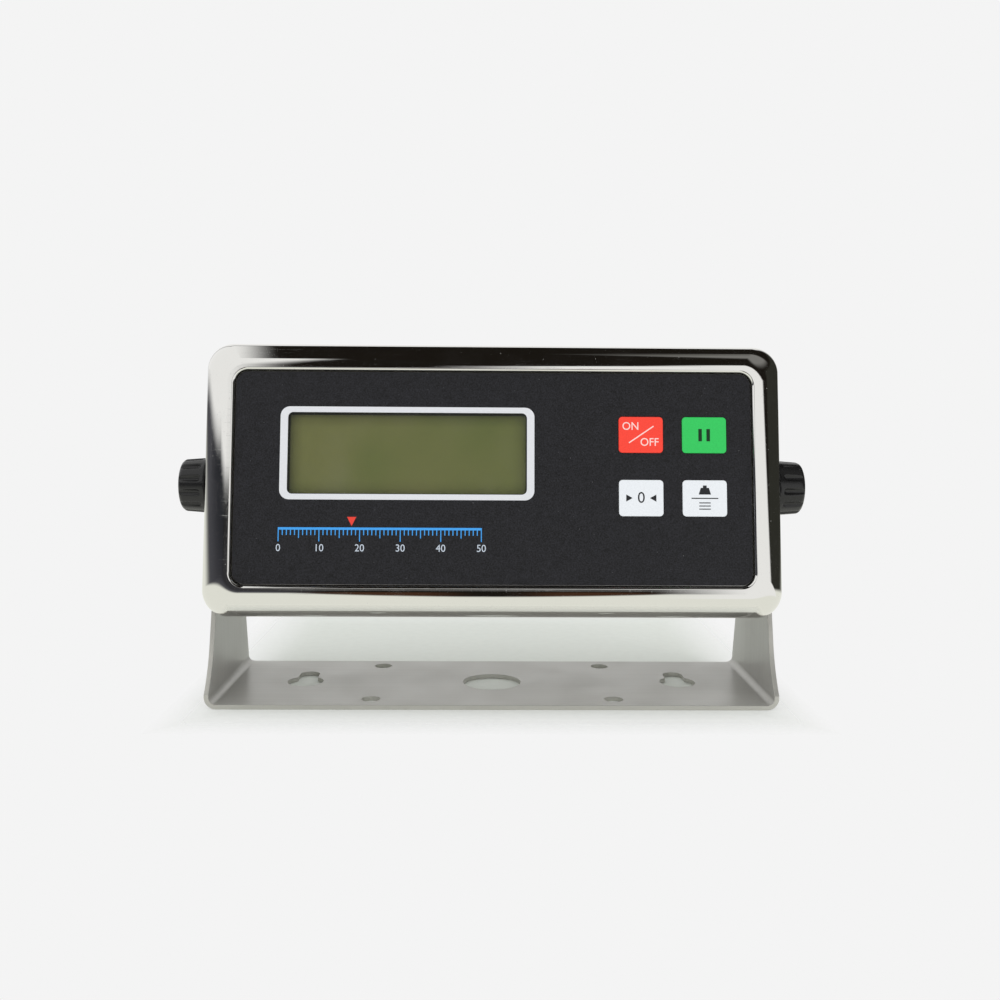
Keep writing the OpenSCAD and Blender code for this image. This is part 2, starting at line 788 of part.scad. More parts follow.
module lcd_frame() {
    color("#e6e6e0") on_case() at([display_x, display_z]) difference() {
        block(glass_w + 2 * frame_wall, glass_h + 2 * frame_wall, floor_back_y, board_y);
        block(glass_w + 2 * fit_gap, glass_h + 2 * fit_gap, floor_back_y - over, board_y + over);
    }
}

module lcd_backlight() {
    color("#f2f2ec") on_case() at([display_x, display_z])
        block(glass_w, glass_h - 2 * light_inset, light_y, board_y - fit_gap);
}

module lcd_pins() {
    color("#c9c9c9") on_case() at([display_x, display_z])
        for (i = [0:pin_count - 1], sz = [-1, 1])
            translate([(i - (pin_count - 1) / 2) * pin_pitch, 0, sz * (glass_h / 2 - pin_inset)])
                block(pin_w, pin_w, glass_y + glass_t, board_y);
}

// the main board
module main_board() {
    color("#1f6b3a") on_case() difference() {
        block(board_w, board_h, board_y, board_back_y);
        for (place = standoff_places) at(place)
            rod_y(board_screw_d + 2 * stud_room, board_y - over, board_back_y + over);
    }
}

module board_standoffs() {
    color("#c9a24a") on_case() for (place = standoff_places) at(place) difference() {
        rod_y(standoff_d, floor_back_y, board_y);
        rod_y(board_screw_d + 2 * thread_gap, board_back_y - board_screw_l - blind_room, board_y + over);
    }
}

module board_screws() {
    color("#8e9094") on_case() for (place = standoff_places) at(place)
        translate([0, board_back_y, 0]) pan_screw(board_screw_d, board_screw_l);
}

function on_board(shares) = [shares.x * board_w, shares.y * board_h];

module board_chips() {
    color("#1a1a1a") on_case() for (shares = chip_place_shares) at(on_board(shares))
        block(chip_w, chip_w, board_back_y, board_back_y + chip_t);
}

module converter_can() {
    color("#b5b7b8") on_case() at(on_board(can_place_shares))
        block(can_w, can_h, board_back_y, board_back_y + can_t);
}

module board_capacitors() {
    color("#20305c") on_case() for (i = [0:cap_count - 1])
        at(on_board(cap_place_shares) + [i * (cap_d + cap_room), 0])
            rod_y(cap_d, board_back_y, board_back_y + cap_l);
}

module buzzer() {
    color("#151515") on_case() at(on_board(buzzer_place_shares)) difference() {
        rod_y(buzzer_d, board_back_y, board_back_y + buzzer_l);
        rod_y(wire_d, board_back_y + buzzer_l / 2, board_back_y + buzzer_l + over);
    }
}

module wire_headers() {
    color("#e8e4d4") on_case() for (place = header_places) at(place) difference() {
        block(header_w, header_h, board_back_y, board_back_y + header_t);
        block(header_w - 2 * header_lip, header_h - 2 * header_lip, board_back_y + header_lip,
            board_back_y + header_t + over);
    }
}

// the battery lies against the rear wall under a screwed strap
module battery() {
    color("#3b3d42") on_case() translate([battery_x, 0, 0]) {
        slab(battery_w, battery_h, battery_case_r, battery_y, battery_y + battery_t);
        for (sz = [-1, 1]) {
            z = sz * (battery_h / 2 - terminal_w);
            translate([battery_w / 2 - terminal_t, battery_y + terminal_h, z - terminal_w / 2])
                cube([terminal_h + terminal_t, terminal_t, terminal_w]);
        }
    }
}

module battery_strap() {
    foot_y = wall_y - strap_t;
    color("#bdbdbd") on_case() translate([battery_x, 0, 0]) difference() {
        union() {
            block(strap_w, strap_out_h, strap_front_y, wall_y);
            block(strap_w, strap_out_h + 2 * strap_foot_l, foot_y, wall_y);
        }
        block(strap_w + over, strap_in_h, strap_front_y + strap_t, wall_y + over);
        for (sz = [-1, 1]) translate([0, 0, sz * strap_screw_z])
            rod_y(board_screw_d + 2 * thread_gap, foot_y - over, wall_y + over);
    }
}

module strap_screws() {
    color("#8e9094") on_case() for (place = strap_screw_places) at(place)
        translate([0, wall_y - strap_t, 0]) mirror([0, 1, 0]) pan_screw(board_screw_d, strap_screw_l);
}

module battery_leads() {
    for (sz = [-1, 1]) {
        bend_y = board_back_y + header_t + lead_rise + sz * header_lip;
        start = [battery_right + terminal_h + wire_d / 2, battery_y + terminal_h,
            sz * (battery_h / 2 - terminal_w)];
        finish = [header_places[0].x - sz * wire_d, board_back_y + 2 * header_lip, header_places[0].y];
        color(sz > 0 ? "#b52a2a" : "#1c1c1c") on_case()
            wire([start, [start.x, bend_y, start.z],
                [finish.x, bend_y, finish.z], finish]);
    }
}

// connectors in the rear wall
module load_cell_socket() {
    color("#c9c9c9") on_case() at(cell_place) difference() {
        union() {
            rod_y(cell_d, wall_y - cell_in, rear_y + cell_out);
            rod_y(cell_flange_d, rear_y, rear_y + cell_flange_t);
        }
        rod_y(cell_d - 2 * cell_wall, wall_y - cell_in - over, rear_y + cell_out + over);
    }
}

module load_cell_insert() {
    insert_d = cell_d - 2 * (cell_wall + thread_gap);
    end_y = rear_y + cell_out - cell_recess;
    ring_r = insert_d / 2 * cell_pin_ring_share;
    color("#141414") on_case() at(cell_place) difference() {
        rod_y(insert_d, wall_y - cell_in, end_y);
        for (i = [0:cell_pins - 1]) rotate([0, i * 360 / cell_pins, 0]) translate([ring_r, 0, 0])
            rod_y(cell_pin_d, end_y - cell_in, end_y + over);
    }
}

module load_cell_nut() {
    nut_y = wall_y - cell_d * nut_t_share;
    color("#bcbcbc") on_case() at(cell_place)
        hex_nut_y(cell_d * nut_flats_share, cell_d + 2 * thread_gap, nut_y, wall_y);
}

module load_cell_leads() {
    start_y = wall_y - cell_in;
    color("#4a4a52") on_case() for (sx = [-1, 1]) {
        start = [cell_place.x + sx * wire_d, start_y, cell_place.y];
        finish = [header_places[1].x + sx * wire_d, board_back_y + 2 * header_lip, header_places[1].y];
        bend_y = lead_bend_y - wire_d * sx;
        wire([start, [start.x, bend_y, start.z], [finish.x, bend_y, finish.z], finish]);
    }
}

module serial_socket() {
    color("#c4c4bc") on_case() at(serial_place) difference() {
        union() {
            block(serial_flange_w, serial_flange_h, rear_y, rear_y + serial_flange_t);
            serial_prism(serial_w, serial_h, wall_y - serial_in, rear_y + serial_out);
        }
        serial_prism(serial_w - 2 * serial_shell_t, serial_h - 2 * serial_shell_t, wall_y - serial_in - over,
            rear_y + serial_out + over);
        for (sx = [-1, 1]) translate([sx * jack_screw_spacing / 2, 0, 0])
            rod_y(board_screw_d + 2 * stud_room, rear_y - over, rear_y + serial_flange_t + over);
    }
}

module serial_insert() {
    inset = 2 * (serial_shell_t + thread_gap);
    end_y = rear_y + serial_out - serial_shell_t;
    color("#20222a") on_case() at(serial_place) difference() {
        serial_prism(serial_w - inset, serial_h - inset, wall_y - serial_in, end_y);
        for (row = [0, 1], i = [0:serial_top_pins - 1 - row]) {
            middle = (serial_top_pins - 1 - row) / 2;
            translate([(i - middle) * serial_pin_pitch, 0, (0.5 - row) * serial_row_gap])
                rod_y(serial_pin_d, end_y - serial_pin_deep, end_y + over);
        }
    }
}

module serial_jack_screws() {
    seat_y = rear_y + serial_flange_t;
    color("#b9b9b9") on_case() at(serial_place) for (sx = [-1, 1])
        translate([sx * jack_screw_spacing / 2, 0, 0]) {
            hex_nut_y(jack_screw_d, board_screw_d, seat_y, seat_y + jack_screw_l);
            rod_y(board_screw_d, wall_y - serial_shell_t, seat_y + jack_screw_l / 2);
        }
}

module power_inlet() {
    color("#161616") on_case() at(inlet_place) {
        difference() {
            union() {
                rod_y(inlet_d, wall_y - inlet_in, rear_y + inlet_out);
                rod_y(inlet_flange_d, rear_y, rear_y + inlet_out / 2);
            }
            rod_y(inlet_bore_d, wall_y - inlet_in + inlet_floor, rear_y + inlet_out + over);
        }
        rod_y(inlet_pin_d, wall_y - inlet_in + inlet_floor / 2, rear_y);
    }
}

module power_inlet_nut() {
    nut_y = wall_y - inlet_d * nut_t_share;
    color("#bcbcbc") on_case() at(inlet_place)
        hex_nut_y(inlet_d * nut_flats_share, inlet_d + 2 * thread_gap, nut_y, wall_y);
}

// the knobs: drawn on the right and mirrored to the left
module on_side(side) {
    translate([0, pivot_back, pivot_h]) mirror([side, 0, 0]) children();
}

module washer(side) {
    color("#c0c0c0") on_side(side) difference() {
        rod_x(washer_d, washer_x, washer_x + washer_t);
        rod_x(stud_hole_d, washer_x - over, washer_x + washer_t + over);
    }
}

// a knob is turned from one profile: x is its radius and y its distance from the arm
module knob_profile() {
    end_r = grip_d / 2 - grip_taper - grip_edge_r;
    dome_r = (end_r * end_r + grip_dome * grip_dome) / (2 * grip_dome);
    end_l = hub_l + grip_l;
    edge_l = end_l - grip_edge_r;
    square([hub_d / 2, edge_l]);
    polygon([[0, hub_l], [grip_d / 2, hub_l], [end_r + grip_edge_r, edge_l], [0, edge_l]]);
    square([end_r, end_l]);
    translate([end_r, edge_l]) circle(r = grip_edge_r);
    intersection() {
        translate([0, end_l + grip_dome - dome_r]) circle(r = dome_r, $fn = DOME_FN);
        square([end_r, end_l + grip_dome]);
    }
}

module knob(side) {
    end_x = grip_x + grip_l;
    color("#1b1b1b") on_side(side) difference() {
        translate([hub_x, 0, 0]) rotate([0, 90, 0]) rotate_extrude() knob_profile();
        for (i = [0:flute_count - 1]) rotate([i * 360 / flute_count + flute_turns[side], 0, 0])
            translate([0, grip_d / 2, 0]) {
                rod_x(flute_d, end_x - flute_l, end_x + grip_dome + over);
                translate([end_x - flute_l, 0, 0]) sphere(d = flute_d);
            }
        rod_x(stud_d + 2 * thread_gap, hub_x - over, stud_outer_x + thread_gap);
    }
}

module stud(side) {
    color("#9a9c9e") on_side(side) rod_x(stud_d, stud_inner_x, stud_outer_x);
}

bracket_base();
bracket_arm(1);  // bracket_arm_left
bracket_arm(0);  // bracket_arm_right
pivot_pads();
front_cover();
rear_housing();
case_seal();
keypad_overlay();
display_border();
display_window();
keypad_circuit();
key_domes();
keypad_tail();
lcd_glass();
lcd_frame();
lcd_backlight();
lcd_pins();
tail_socket();
main_board();
board_standoffs();
board_screws();
board_chips();
converter_can();
board_capacitors();
buzzer();
wire_headers();
battery();
battery_strap();
strap_screws();
battery_leads();
case_posts();
case_screws();
case_washers();
weld_nuts();
load_cell_socket();
load_cell_insert();
load_cell_nut();
load_cell_leads();
serial_socket();
serial_insert();
serial_jack_screws();
power_inlet();
power_inlet_nut();
color("#e8402c") key(0);  // key_on_off
color("#2cb858") key(1);  // key_hold
color("#e6e8ee") key(2);  // key_zero
color("#e6e8ee") key(3);  // key_unit
washer(1);  // washer_left
washer(0);  // washer_right
knob(1);  // knob_left
knob(0);  // knob_right
stud(1);  // stud_left
stud(0);  // stud_right
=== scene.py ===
# %% [markdown]
# The weighing indicator, dressed for its picture. The packed model holds every part at its real size and
# place. This notebook adds what an eye wants to see: polished and brushed steel, printed film, moulded
# knobs, light and a camera. We start by loading the parts and measuring the whole object.

# %% Load the parts
import json
import math

import bmesh
import bpy
from mathutils import Matrix, Vector

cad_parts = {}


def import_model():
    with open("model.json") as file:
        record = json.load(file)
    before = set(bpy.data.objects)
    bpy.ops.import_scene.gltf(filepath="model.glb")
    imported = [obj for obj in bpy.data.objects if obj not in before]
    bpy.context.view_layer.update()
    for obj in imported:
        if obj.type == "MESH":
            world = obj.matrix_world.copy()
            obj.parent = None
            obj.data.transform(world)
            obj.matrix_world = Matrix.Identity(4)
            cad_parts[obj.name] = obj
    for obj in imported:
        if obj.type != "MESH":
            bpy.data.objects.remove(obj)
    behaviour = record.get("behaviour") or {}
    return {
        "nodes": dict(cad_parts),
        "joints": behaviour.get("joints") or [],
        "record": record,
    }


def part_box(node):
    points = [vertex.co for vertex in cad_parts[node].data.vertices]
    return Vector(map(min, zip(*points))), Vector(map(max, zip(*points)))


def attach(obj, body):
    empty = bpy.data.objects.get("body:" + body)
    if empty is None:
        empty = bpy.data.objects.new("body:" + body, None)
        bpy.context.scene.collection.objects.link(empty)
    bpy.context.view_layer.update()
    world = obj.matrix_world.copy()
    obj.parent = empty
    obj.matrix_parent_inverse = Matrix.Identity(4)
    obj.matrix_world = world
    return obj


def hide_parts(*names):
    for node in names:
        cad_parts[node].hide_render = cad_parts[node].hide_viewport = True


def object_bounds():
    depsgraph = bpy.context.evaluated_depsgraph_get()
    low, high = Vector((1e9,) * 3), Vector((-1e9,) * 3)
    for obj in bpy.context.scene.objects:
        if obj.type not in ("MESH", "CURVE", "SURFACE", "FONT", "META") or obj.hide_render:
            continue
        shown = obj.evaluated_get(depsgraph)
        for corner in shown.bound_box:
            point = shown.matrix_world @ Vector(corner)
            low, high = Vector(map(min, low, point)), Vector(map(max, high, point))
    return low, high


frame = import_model()
cad_low, cad_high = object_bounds()
parts = frame["nodes"]
body_of_part = {part: body for body, members in frame["record"]["behaviour"]["bodies"].items()
                for part in members}
slot_of_part = {row["node"]: row["material_slot"] for row in frame["record"]["subparts"]}
MM = 0.001
print("parts:", len(parts), "size in mm:", [round(side / MM, 1) for side in cad_high - cad_low])

# %% [markdown]
# The case leans back in its bracket, so its pieces are easiest to draw in a frame of their own: X to the
# right, Y straight into the case and Z up its face. The tilt joint gives that frame its origin, and the
# direction in which the keys travel gives its Y axis. Everything drawn there is turned into place at the end.

# %% The frame of the case
joints = {joint["name"]: joint for joint in frame["joints"]}
tilt_at = Vector(joints["case_tilt"]["pos_m"])
into_case = Vector(joints["press_hold"]["axis"]).normalized()
to_right = Vector((1, 0, 0))
up_case = to_right.cross(into_case)
CASE = Matrix.Translation(tilt_at) @ Matrix((to_right, into_case, up_case)).transposed().to_4x4()


class Box:
    """The room a part takes up in the frame of the case, in metres."""

    def __init__(self, part):
        from_world = CASE.inverted()
        points = [from_world @ vertex.co for vertex in parts[part].data.vertices]
        self.low = Vector([min(point[i] for point in points) for i in range(3)])
        self.high = Vector([max(point[i] for point in points) for i in range(3)])
        self.size = self.high - self.low
        self.middle = (self.high + self.low) / 2


cover, overlay, border, window = map(Box, ("front_cover", "keypad_overlay", "display_border", "display_window"))
print("cover in mm:", [round(side / MM, 1) for side in cover.size])

# %% [markdown]
# The camera comes first. A product photographer stood about half a metre away, a little above the middle of
# the case and looking slightly down. Its place and lens were worked out from the edges of the object, so the
# picture can be compared with the photograph, edge by edge.

# %% Camera
CAMERA_AT = Vector((-4.29, -461.5, 127.6)) * MM
CAMERA_PITCH, CAMERA_YAW, CAMERA_ROLL = map(math.radians, (5.2741, 0.92, -0.3651))
SENSOR = 36
FOCAL_PIXELS = 1035.05
FRAME_PIXELS = 1000


def added(name, data):
    """A new object in the scene, at the origin."""
    made = bpy.data.objects.new(name, data)
    bpy.context.scene.collection.objects.link(made)
    return made


camera = added("camera", bpy.data.cameras.new("camera"))
forward = Vector((math.sin(CAMERA_YAW) * math.cos(CAMERA_PITCH),
                  math.cos(CAMERA_YAW) * math.cos(CAMERA_PITCH), -math.sin(CAMERA_PITCH)))
level = Vector((math.cos(CAMERA_YAW), -math.sin(CAMERA_YAW), 0))
above = level.cross(forward)
right_hand = level * math.cos(CAMERA_ROLL) - above * math.sin(CAMERA_ROLL)
top_hand = level * math.sin(CAMERA_ROLL) + above * math.cos(CAMERA_ROLL)
camera.matrix_world = (Matrix.Translation(CAMERA_AT)
                       @ Matrix((right_hand, top_hand, -forward)).transposed().to_4x4())
camera.data.sensor_width = SENSOR
camera.data.lens = FOCAL_PIXELS / FRAME_PIXELS * SENSOR
camera.data.clip_start = 0.01
bpy.context.scene.camera = camera
bpy.context.scene.view_settings.view_transform = "Standard"
print("lens in mm:", round(camera.data.lens, 2))

# %% [markdown]
# Materials are node trees. Writing each tree out in full would hide what matters, so two small classes keep
# the usual moves short. One adds and joins nodes in any tree. The other starts from a Principled surface and
# knows a noise, a ramp and a bump. Every pattern reads Object coordinates in metres, so that a scratch is as
# wide on the knob as it is on the case.

# %% A short way to write node trees
def linear(red, green, blue):
    """A colour as the eye names it, from 0 to 255, in the linear values that the nodes want."""
    def channel(value):
        share = value / 255
        return share / 12.92 if share <= 0.04045 else ((share + 0.055) / 1.055) ** 2.4
    return (channel(red), channel(green), channel(blue), 1)


def shaded(colour, factor, lift=0.0):
    """The same colour, darker or lighter."""
    return tuple(min(1.0, channel * factor + lift) for channel in colour[:3]) + (1,)


class Nodes:
    """A node tree, built up by short calls. What goes into a node may be a number, a colour or the output of
    another node."""

    def __init__(self, tree):
        self.tree = tree

    def join(self, value, socket):
        if isinstance(value, bpy.types.NodeSocket):
            self.tree.links.new(value, socket)
        else:
            socket.default_value = value

    def node(self, kind, inputs=None, **settings):
        made = self.tree.nodes.new(kind)
        for setting, value in settings.items():
            setattr(made, setting, value)
        for name, value in (inputs or {}).items():
            self.join(value, made.inputs[name])
        return made

    def calc(self, kind, *values):
        return self.node("ShaderNodeMath", dict(enumerate(values)), operation=kind).outputs[0]

    def mixed(self, share, first, second, blend="MIX"):
        """A colour between two, by share."""
        return self.node("ShaderNodeMix", {"Factor": share, 6: first, 7: second}, data_type="RGBA",
                         blend_type=blend).outputs[2]


print("white in linear values:", linear(255, 255, 255))

# %% A short way to write materials
class Finish(Nodes):
    """One material: a Principled surface, and patterns that read the place on the piece."""

    def __init__(self, name, colour, rough, metallic=0.0, **sockets):
        self.material = bpy.data.materials.new(name)
        self.material.use_nodes = True
        super().__init__(self.material.node_tree)
        self.surface = self.tree.nodes["Principled BSDF"]
        sockets = {"Base_Color": colour, "Roughness": rough, "Metallic": metallic, **sockets}
        for socket, value in sockets.items():
            self.feed(socket.replace("_", " "), value)
        self.place = self.node("ShaderNodeTexCoord").outputs["Object"]
        self.height = None

    def feed(self, socket, value):
        self.join(value, self.surface.inputs[socket])

    def stretched(self, scale, turn=(0, 0, 0)):
        """The place on the piece, scaled, so that a pattern turns into streaks."""
        return self.node("ShaderNodeMapping", {"Scale": scale, "Rotation": turn,
                                               "Vector": self.place}).outputs[0]

    def noise(self, scale, detail=3.0, rough=0.5, vector=None):
        return self.node("ShaderNodeTexNoise", {"Scale": scale, "Detail": detail, "Roughness": rough,
                                                "Vector": vector or self.place}).outputs["Fac"]

    def dots(self, spacing, radius, flat=0.3):
        """White dots on black: the nearest of many scattered points, cut at a radius, for dust and specks. The
        smaller flat is, the more of them show on faces that look forwards or backwards."""
        cells = self.node("ShaderNodeTexVoronoi", {"Scale": 1 / spacing,
                                                   "Vector": self.stretched((1, flat, 1))})
        return self.ramp(cells.outputs["Distance"], [(0, 1.0), (radius / spacing, 0.0)])

    def ramp(self, output, stops):
        """Values between stops, each a (place, brightness or colour)."""
        made = self.node("ShaderNodeValToRGB", {"Fac": output})
        elements = made.color_ramp.elements
        while len(elements) < len(stops):
            elements.new(0.5)
        for element, (place, value) in zip(elements, stops):
            element.position = place
            element.color = value if isinstance(value, tuple) else (value, value, value, 1)
        return made.outputs["Color"]

    def bump(self, output, depth, strength=1.0):
        """Raises the surface by up to depth, in metres, on top of earlier bumps."""
        inputs = {"Strength": strength, "Distance": depth, "Height": output}
        if self.height is not None:
            inputs["Normal"] = self.height
        self.height = self.node("ShaderNodeBump", inputs).outputs["Normal"]
        self.feed("Normal", self.height)


finishes = {}
print("patterns:", [name for name in vars(Finish) if not name.startswith("_")])

# %% [markdown]
# The cover is pressed from thin stainless sheet and polished until it mirrors the room. A perfect mirror
# looks like a computer drawing. Real sheet is a little wavy after the press, its polish leaves hairlines, and
# dust settles on it. So the finish has three layers: slow waves, fine crossed scratches, and specks of dust
# that are dull and pale and no metal at all.

# %% Polished steel
def polished_steel():
    finish = Finish("polished_steel", linear(234, 233, 230), 0.045, metallic=1.0)
    waves = finish.noise(26, detail=1.0)
    along = finish.noise(1, detail=4, vector=finish.stretched((60, 2600, 2600), (0, 0.3, 0)))
    across = finish.noise(1, detail=4, vector=finish.stretched((2600, 2600, 60), (0, 0.5, 0)))
    hairlines = finish.calc("ADD", finish.ramp(along, [(0.62, 0.0), (0.72, 1.0)]),
                           finish.ramp(across, [(0.64, 0.0), (0.74, 1.0)]))
    specks = finish.calc("MAXIMUM", finish.dots(3.4 * MM, 0.17 * MM), finish.dots(1.5 * MM, 0.06 * MM))
    patches = finish.ramp(finish.noise(70, detail=4), [(0.45, 0.030), (0.75, 0.085)])
    marks = finish.calc("MULTIPLY", hairlines, 0.10)
    finish.feed("Roughness", finish.calc("ADD", finish.calc("ADD", patches, marks),
                                        finish.calc("MULTIPLY", specks, 0.5)))
    finish.feed("Base Color", finish.mixed(specks, linear(234, 233, 230), linear(196, 196, 192)))
    finish.feed("Metallic", finish.calc("SUBTRACT", 1, specks))
    finish.bump(waves, 0.12 * MM, 0.30)
    finish.bump(hairlines, 0.0012 * MM, 0.5)
    return finish.material


finishes["polished_steel"] = polished_steel()
print("made", finishes["polished_steel"].name)

# %% [markdown]
# The bracket is bent from plate that still has its mill grain, which runs along the strip: sideways on the
# base and upwards on the arms. A noise that changes quickly in Y and hardly at all in X and Z gives both at
# once. Anisotropy spreads the highlights across the grain, as brushed metal does. The housing is a finer
# version of the same, without the coarse lines.

# %% Brushed steel
def brushed_steel(name, colour, rough, grain, lines_deep, spread):
    finish = Finish(name, colour, rough, metallic=0.5, Anisotropic=spread, Anisotropic_Rotation=0.25)
    tangent = finish.node("ShaderNodeTangent", direction_type="RADIAL", axis="Y")
    finish.feed("Tangent", tangent.outputs["Tangent"])
    lines = finish.noise(1, detail=5, rough=0.65, vector=finish.stretched((6, grain, 6)))
    long_lines = finish.noise(1, detail=2, vector=finish.stretched((14, grain / 3, 14)))
    blotches = finish.noise(38, detail=4)
    streaks = finish.calc("ADD", finish.calc("MULTIPLY", lines, 0.6), finish.calc("MULTIPLY", blotches, 0.4))
    tone = finish.ramp(streaks, [(0.3, shaded(colour, 0.82)), (0.7, colour)])
    specks = finish.dots(6.5 * MM, 0.14 * MM)
    finish.feed("Base Color", finish.mixed(specks, tone, linear(236, 234, 228)))
    roughness = finish.ramp(blotches, [(0.3, rough * 0.85), (0.7, rough * 1.2)])
    finish.feed("Roughness", finish.calc("ADD", roughness, finish.calc("MULTIPLY", specks, 0.3)))
    finish.bump(lines, lines_deep, 0.6)
    finish.bump(long_lines, lines_deep * 0.7, 0.4)
    return finish.material


finishes["brushed_steel"] = brushed_steel("brushed_steel", linear(190, 189, 184), 0.34, 900, 0.014 * MM, 0.55)
finishes["satin_steel"] = brushed_steel("satin_steel", linear(214, 213, 209), 0.24, 1500, 0.004 * MM, 0.35)
finishes["cut_edge"] = brushed_steel("cut_edge", linear(198, 197, 190), 0.36, 500, 0.02 * MM, 0.0)
print("made", [name for name in finishes])

# %% [markdown]
# The keypad is polyester film, printed from behind, with a fine texture on its face that kills reflections.
# Seen close, the charcoal print sparkles slightly and carries a few grains of dust. The white border and the
# keys are the same film with another ink. One function makes them all from their colours.

# %% Printed film
def printed_film(name, colour, rough, grain, dusty):
    finish = Finish(name, colour, rough, Specular_IOR_Level=0.36)
    fine = finish.noise(2000, detail=4)
    mottle = finish.noise(240, detail=3)
    darker = shaded(colour, 1 - grain)
    lighter = shaded(colour, 1 + grain, 0.004 * grain)
    sparkle = finish.calc("ADD", finish.calc("MULTIPLY", fine, 0.88), finish.calc("MULTIPLY", mottle, 0.12))
    ink = finish.ramp(sparkle, [(0.36, darker), (0.64, lighter)])
    dust = finish.calc("MAXIMUM", finish.dots(8 * MM, 0.22 * MM, 0.05),
                       finish.dots(3.4 * MM, 0.13 * MM, 0.05))
    finish.feed("Base Color", finish.mixed(finish.calc("MULTIPLY", dust, dusty), ink, linear(190, 192, 196)))
    finish.feed("Roughness", finish.ramp(fine, [(0.3, rough * 0.9), (0.7, rough * 1.15)]))
    finish.bump(fine, 0.006 * MM, 0.6)
    return finish.material


FILM_COLOURS = {
    "charcoal_print": (linear(25, 25, 30), 0.50, 0.75, 0.55),
    "white_print": (linear(221, 223, 227), 0.42, 0.03, 0.10),
    "key_red": (linear(250, 66, 48), 0.42, 0.05, 0.20),
    "key_green": (linear(44, 200, 92), 0.42, 0.05, 0.20),
    "key_white": (linear(232, 236, 240), 0.42, 0.03, 0.10),
    "print_blue": (linear(62, 160, 238), 0.44, 0.05, 0.20),
    "print_red": (linear(232, 62, 46), 0.44, 0.05, 0.20),
    "print_pale": (linear(250, 214, 208), 0.44, 0.03, 0.10),
    "print_ash": (linear(196, 206, 218), 0.44, 0.03, 0.10),
    "print_black": (linear(34, 36, 40), 0.44, 0.05, 0.10),
    "print_green": (linear(6, 52, 24), 0.44, 0.05, 0.10),
}
for film, (colour, rough, grain, dusty) in FILM_COLOURS.items():
    finishes[film] = printed_film(film, colour, rough, grain, dusty)
print("films:", len(FILM_COLOURS))

# %% [markdown]
# Behind the clear window lies the liquid crystal glass. Switched off, it is an even olive green with a faint
# mottle. Its colour is painted darker towards its rims. This painted shade stands for the thin shadow that the
# frame throws, and a painted dark shadow line runs right at each rim. The window itself is almost nothing: a
# clear film that only adds a soft shine and some dust. It is see-through by its alpha, so that light still
# falls through it onto the glass.

# %% Display
# how far in from each rim the painted shade of the display reaches
RIM_SHADE = 6 * MM


def display_green():
    finish = Finish("display_green", linear(98, 103, 60), 0.40, Specular_IOR_Level=0.25)
    tone = finish.ramp(finish.noise(22, detail=2), [(0.35, linear(92, 99, 50)), (0.66, linear(102, 104, 58))])
    light = finish.ramp(finish.noise(1400, detail=2), [(0.3, 0.94), (0.7, 1.0)])
    from_middle = finish.node("ShaderNodeVectorMath", {0: finish.place, 1: CASE @ window.middle},
                              operation="SUBTRACT").outputs[0]
    # each rim has its sign, how bright the painted shade leaves the glass beside it, and the share next to it
    # that gets a painted dark shadow line
    for axis, half, rims in ((to_right, window.size.x / 2, ((-1, 0.50, 0.10), (1, 0.72, 0.06))),
                             (up_case, window.size.z / 2, ((-1, 0.78, 0.05), (1, 0.52, 0.13)))):
        along = finish.node("ShaderNodeVectorMath", {0: from_middle, 1: axis}, operation="DOT_PRODUCT")
        for sign, beside, shadow_line in rims:
            # painted shade: the colour darkens towards this rim, and a painted dark shadow line runs right
            # along it
            inward = finish.calc("SUBTRACT", half, finish.calc("MULTIPLY", along.outputs["Value"], sign))
            shade = finish.ramp(finish.calc("MULTIPLY", inward, 1 / RIM_SHADE),
                                [(shadow_line, 0.06), (shadow_line + 0.03, beside), (0.4, (1 + beside) / 2), (1, 1.0)])
            light = finish.calc("MULTIPLY", light, shade)
    finish.feed("Base Color", finish.mixed(1.0, tone, light, "MULTIPLY"))
    return finish.material


def clear_window():
    finish = Finish("clear_window", linear(226, 230, 222), 0.22, Specular_IOR_Level=0.3)
    dust = finish.calc("MAXIMUM", finish.dots(5.5 * MM, 0.22 * MM, 0.05),
                       finish.dots(2.6 * MM, 0.12 * MM, 0.05))
    smear = finish.ramp(finish.noise(45, detail=4), [(0.5, 0.008), (0.75, 0.018)])
    finish.feed("Alpha", finish.calc("ADD", smear, finish.calc("MULTIPLY", dust, 0.35)))
    return finish.material


finishes["display_green"] = display_green()
finishes["clear_window"] = clear_window()
print("display finishes made")

# %% [markdown]
# The knobs are moulded from black plastic with a soft satin skin. Rubber, nylon and the sleeves of the wires
# are mouldings too, so one function serves them all: a colour with a slow mottle, a fine skin texture as
# bump, and roughness that varies a little where hands have touched it.

# %% Mouldings
SKIN = 0.010 * MM


def moulding(name, colour, rough):
    finish = Finish(name, colour, rough)
    texture = finish.noise(2400, detail=3)
    wear = finish.noise(90, detail=3)
    lighter = shaded(colour, 1.25, 0.002)
    dust = finish.calc("MULTIPLY", finish.dots(4.5 * MM, 0.10 * MM), 0.25)
    base = finish.ramp(wear, [(0.35, colour), (0.75, lighter)])
    finish.feed("Base Color", finish.mixed(dust, base, linear(170, 170, 168)))
    finish.feed("Roughness", finish.ramp(wear, [(0.3, rough * 0.85), (0.7, min(1.0, rough * 1.2))]))
    finish.bump(texture, SKIN, 0.5)
    return finish.material


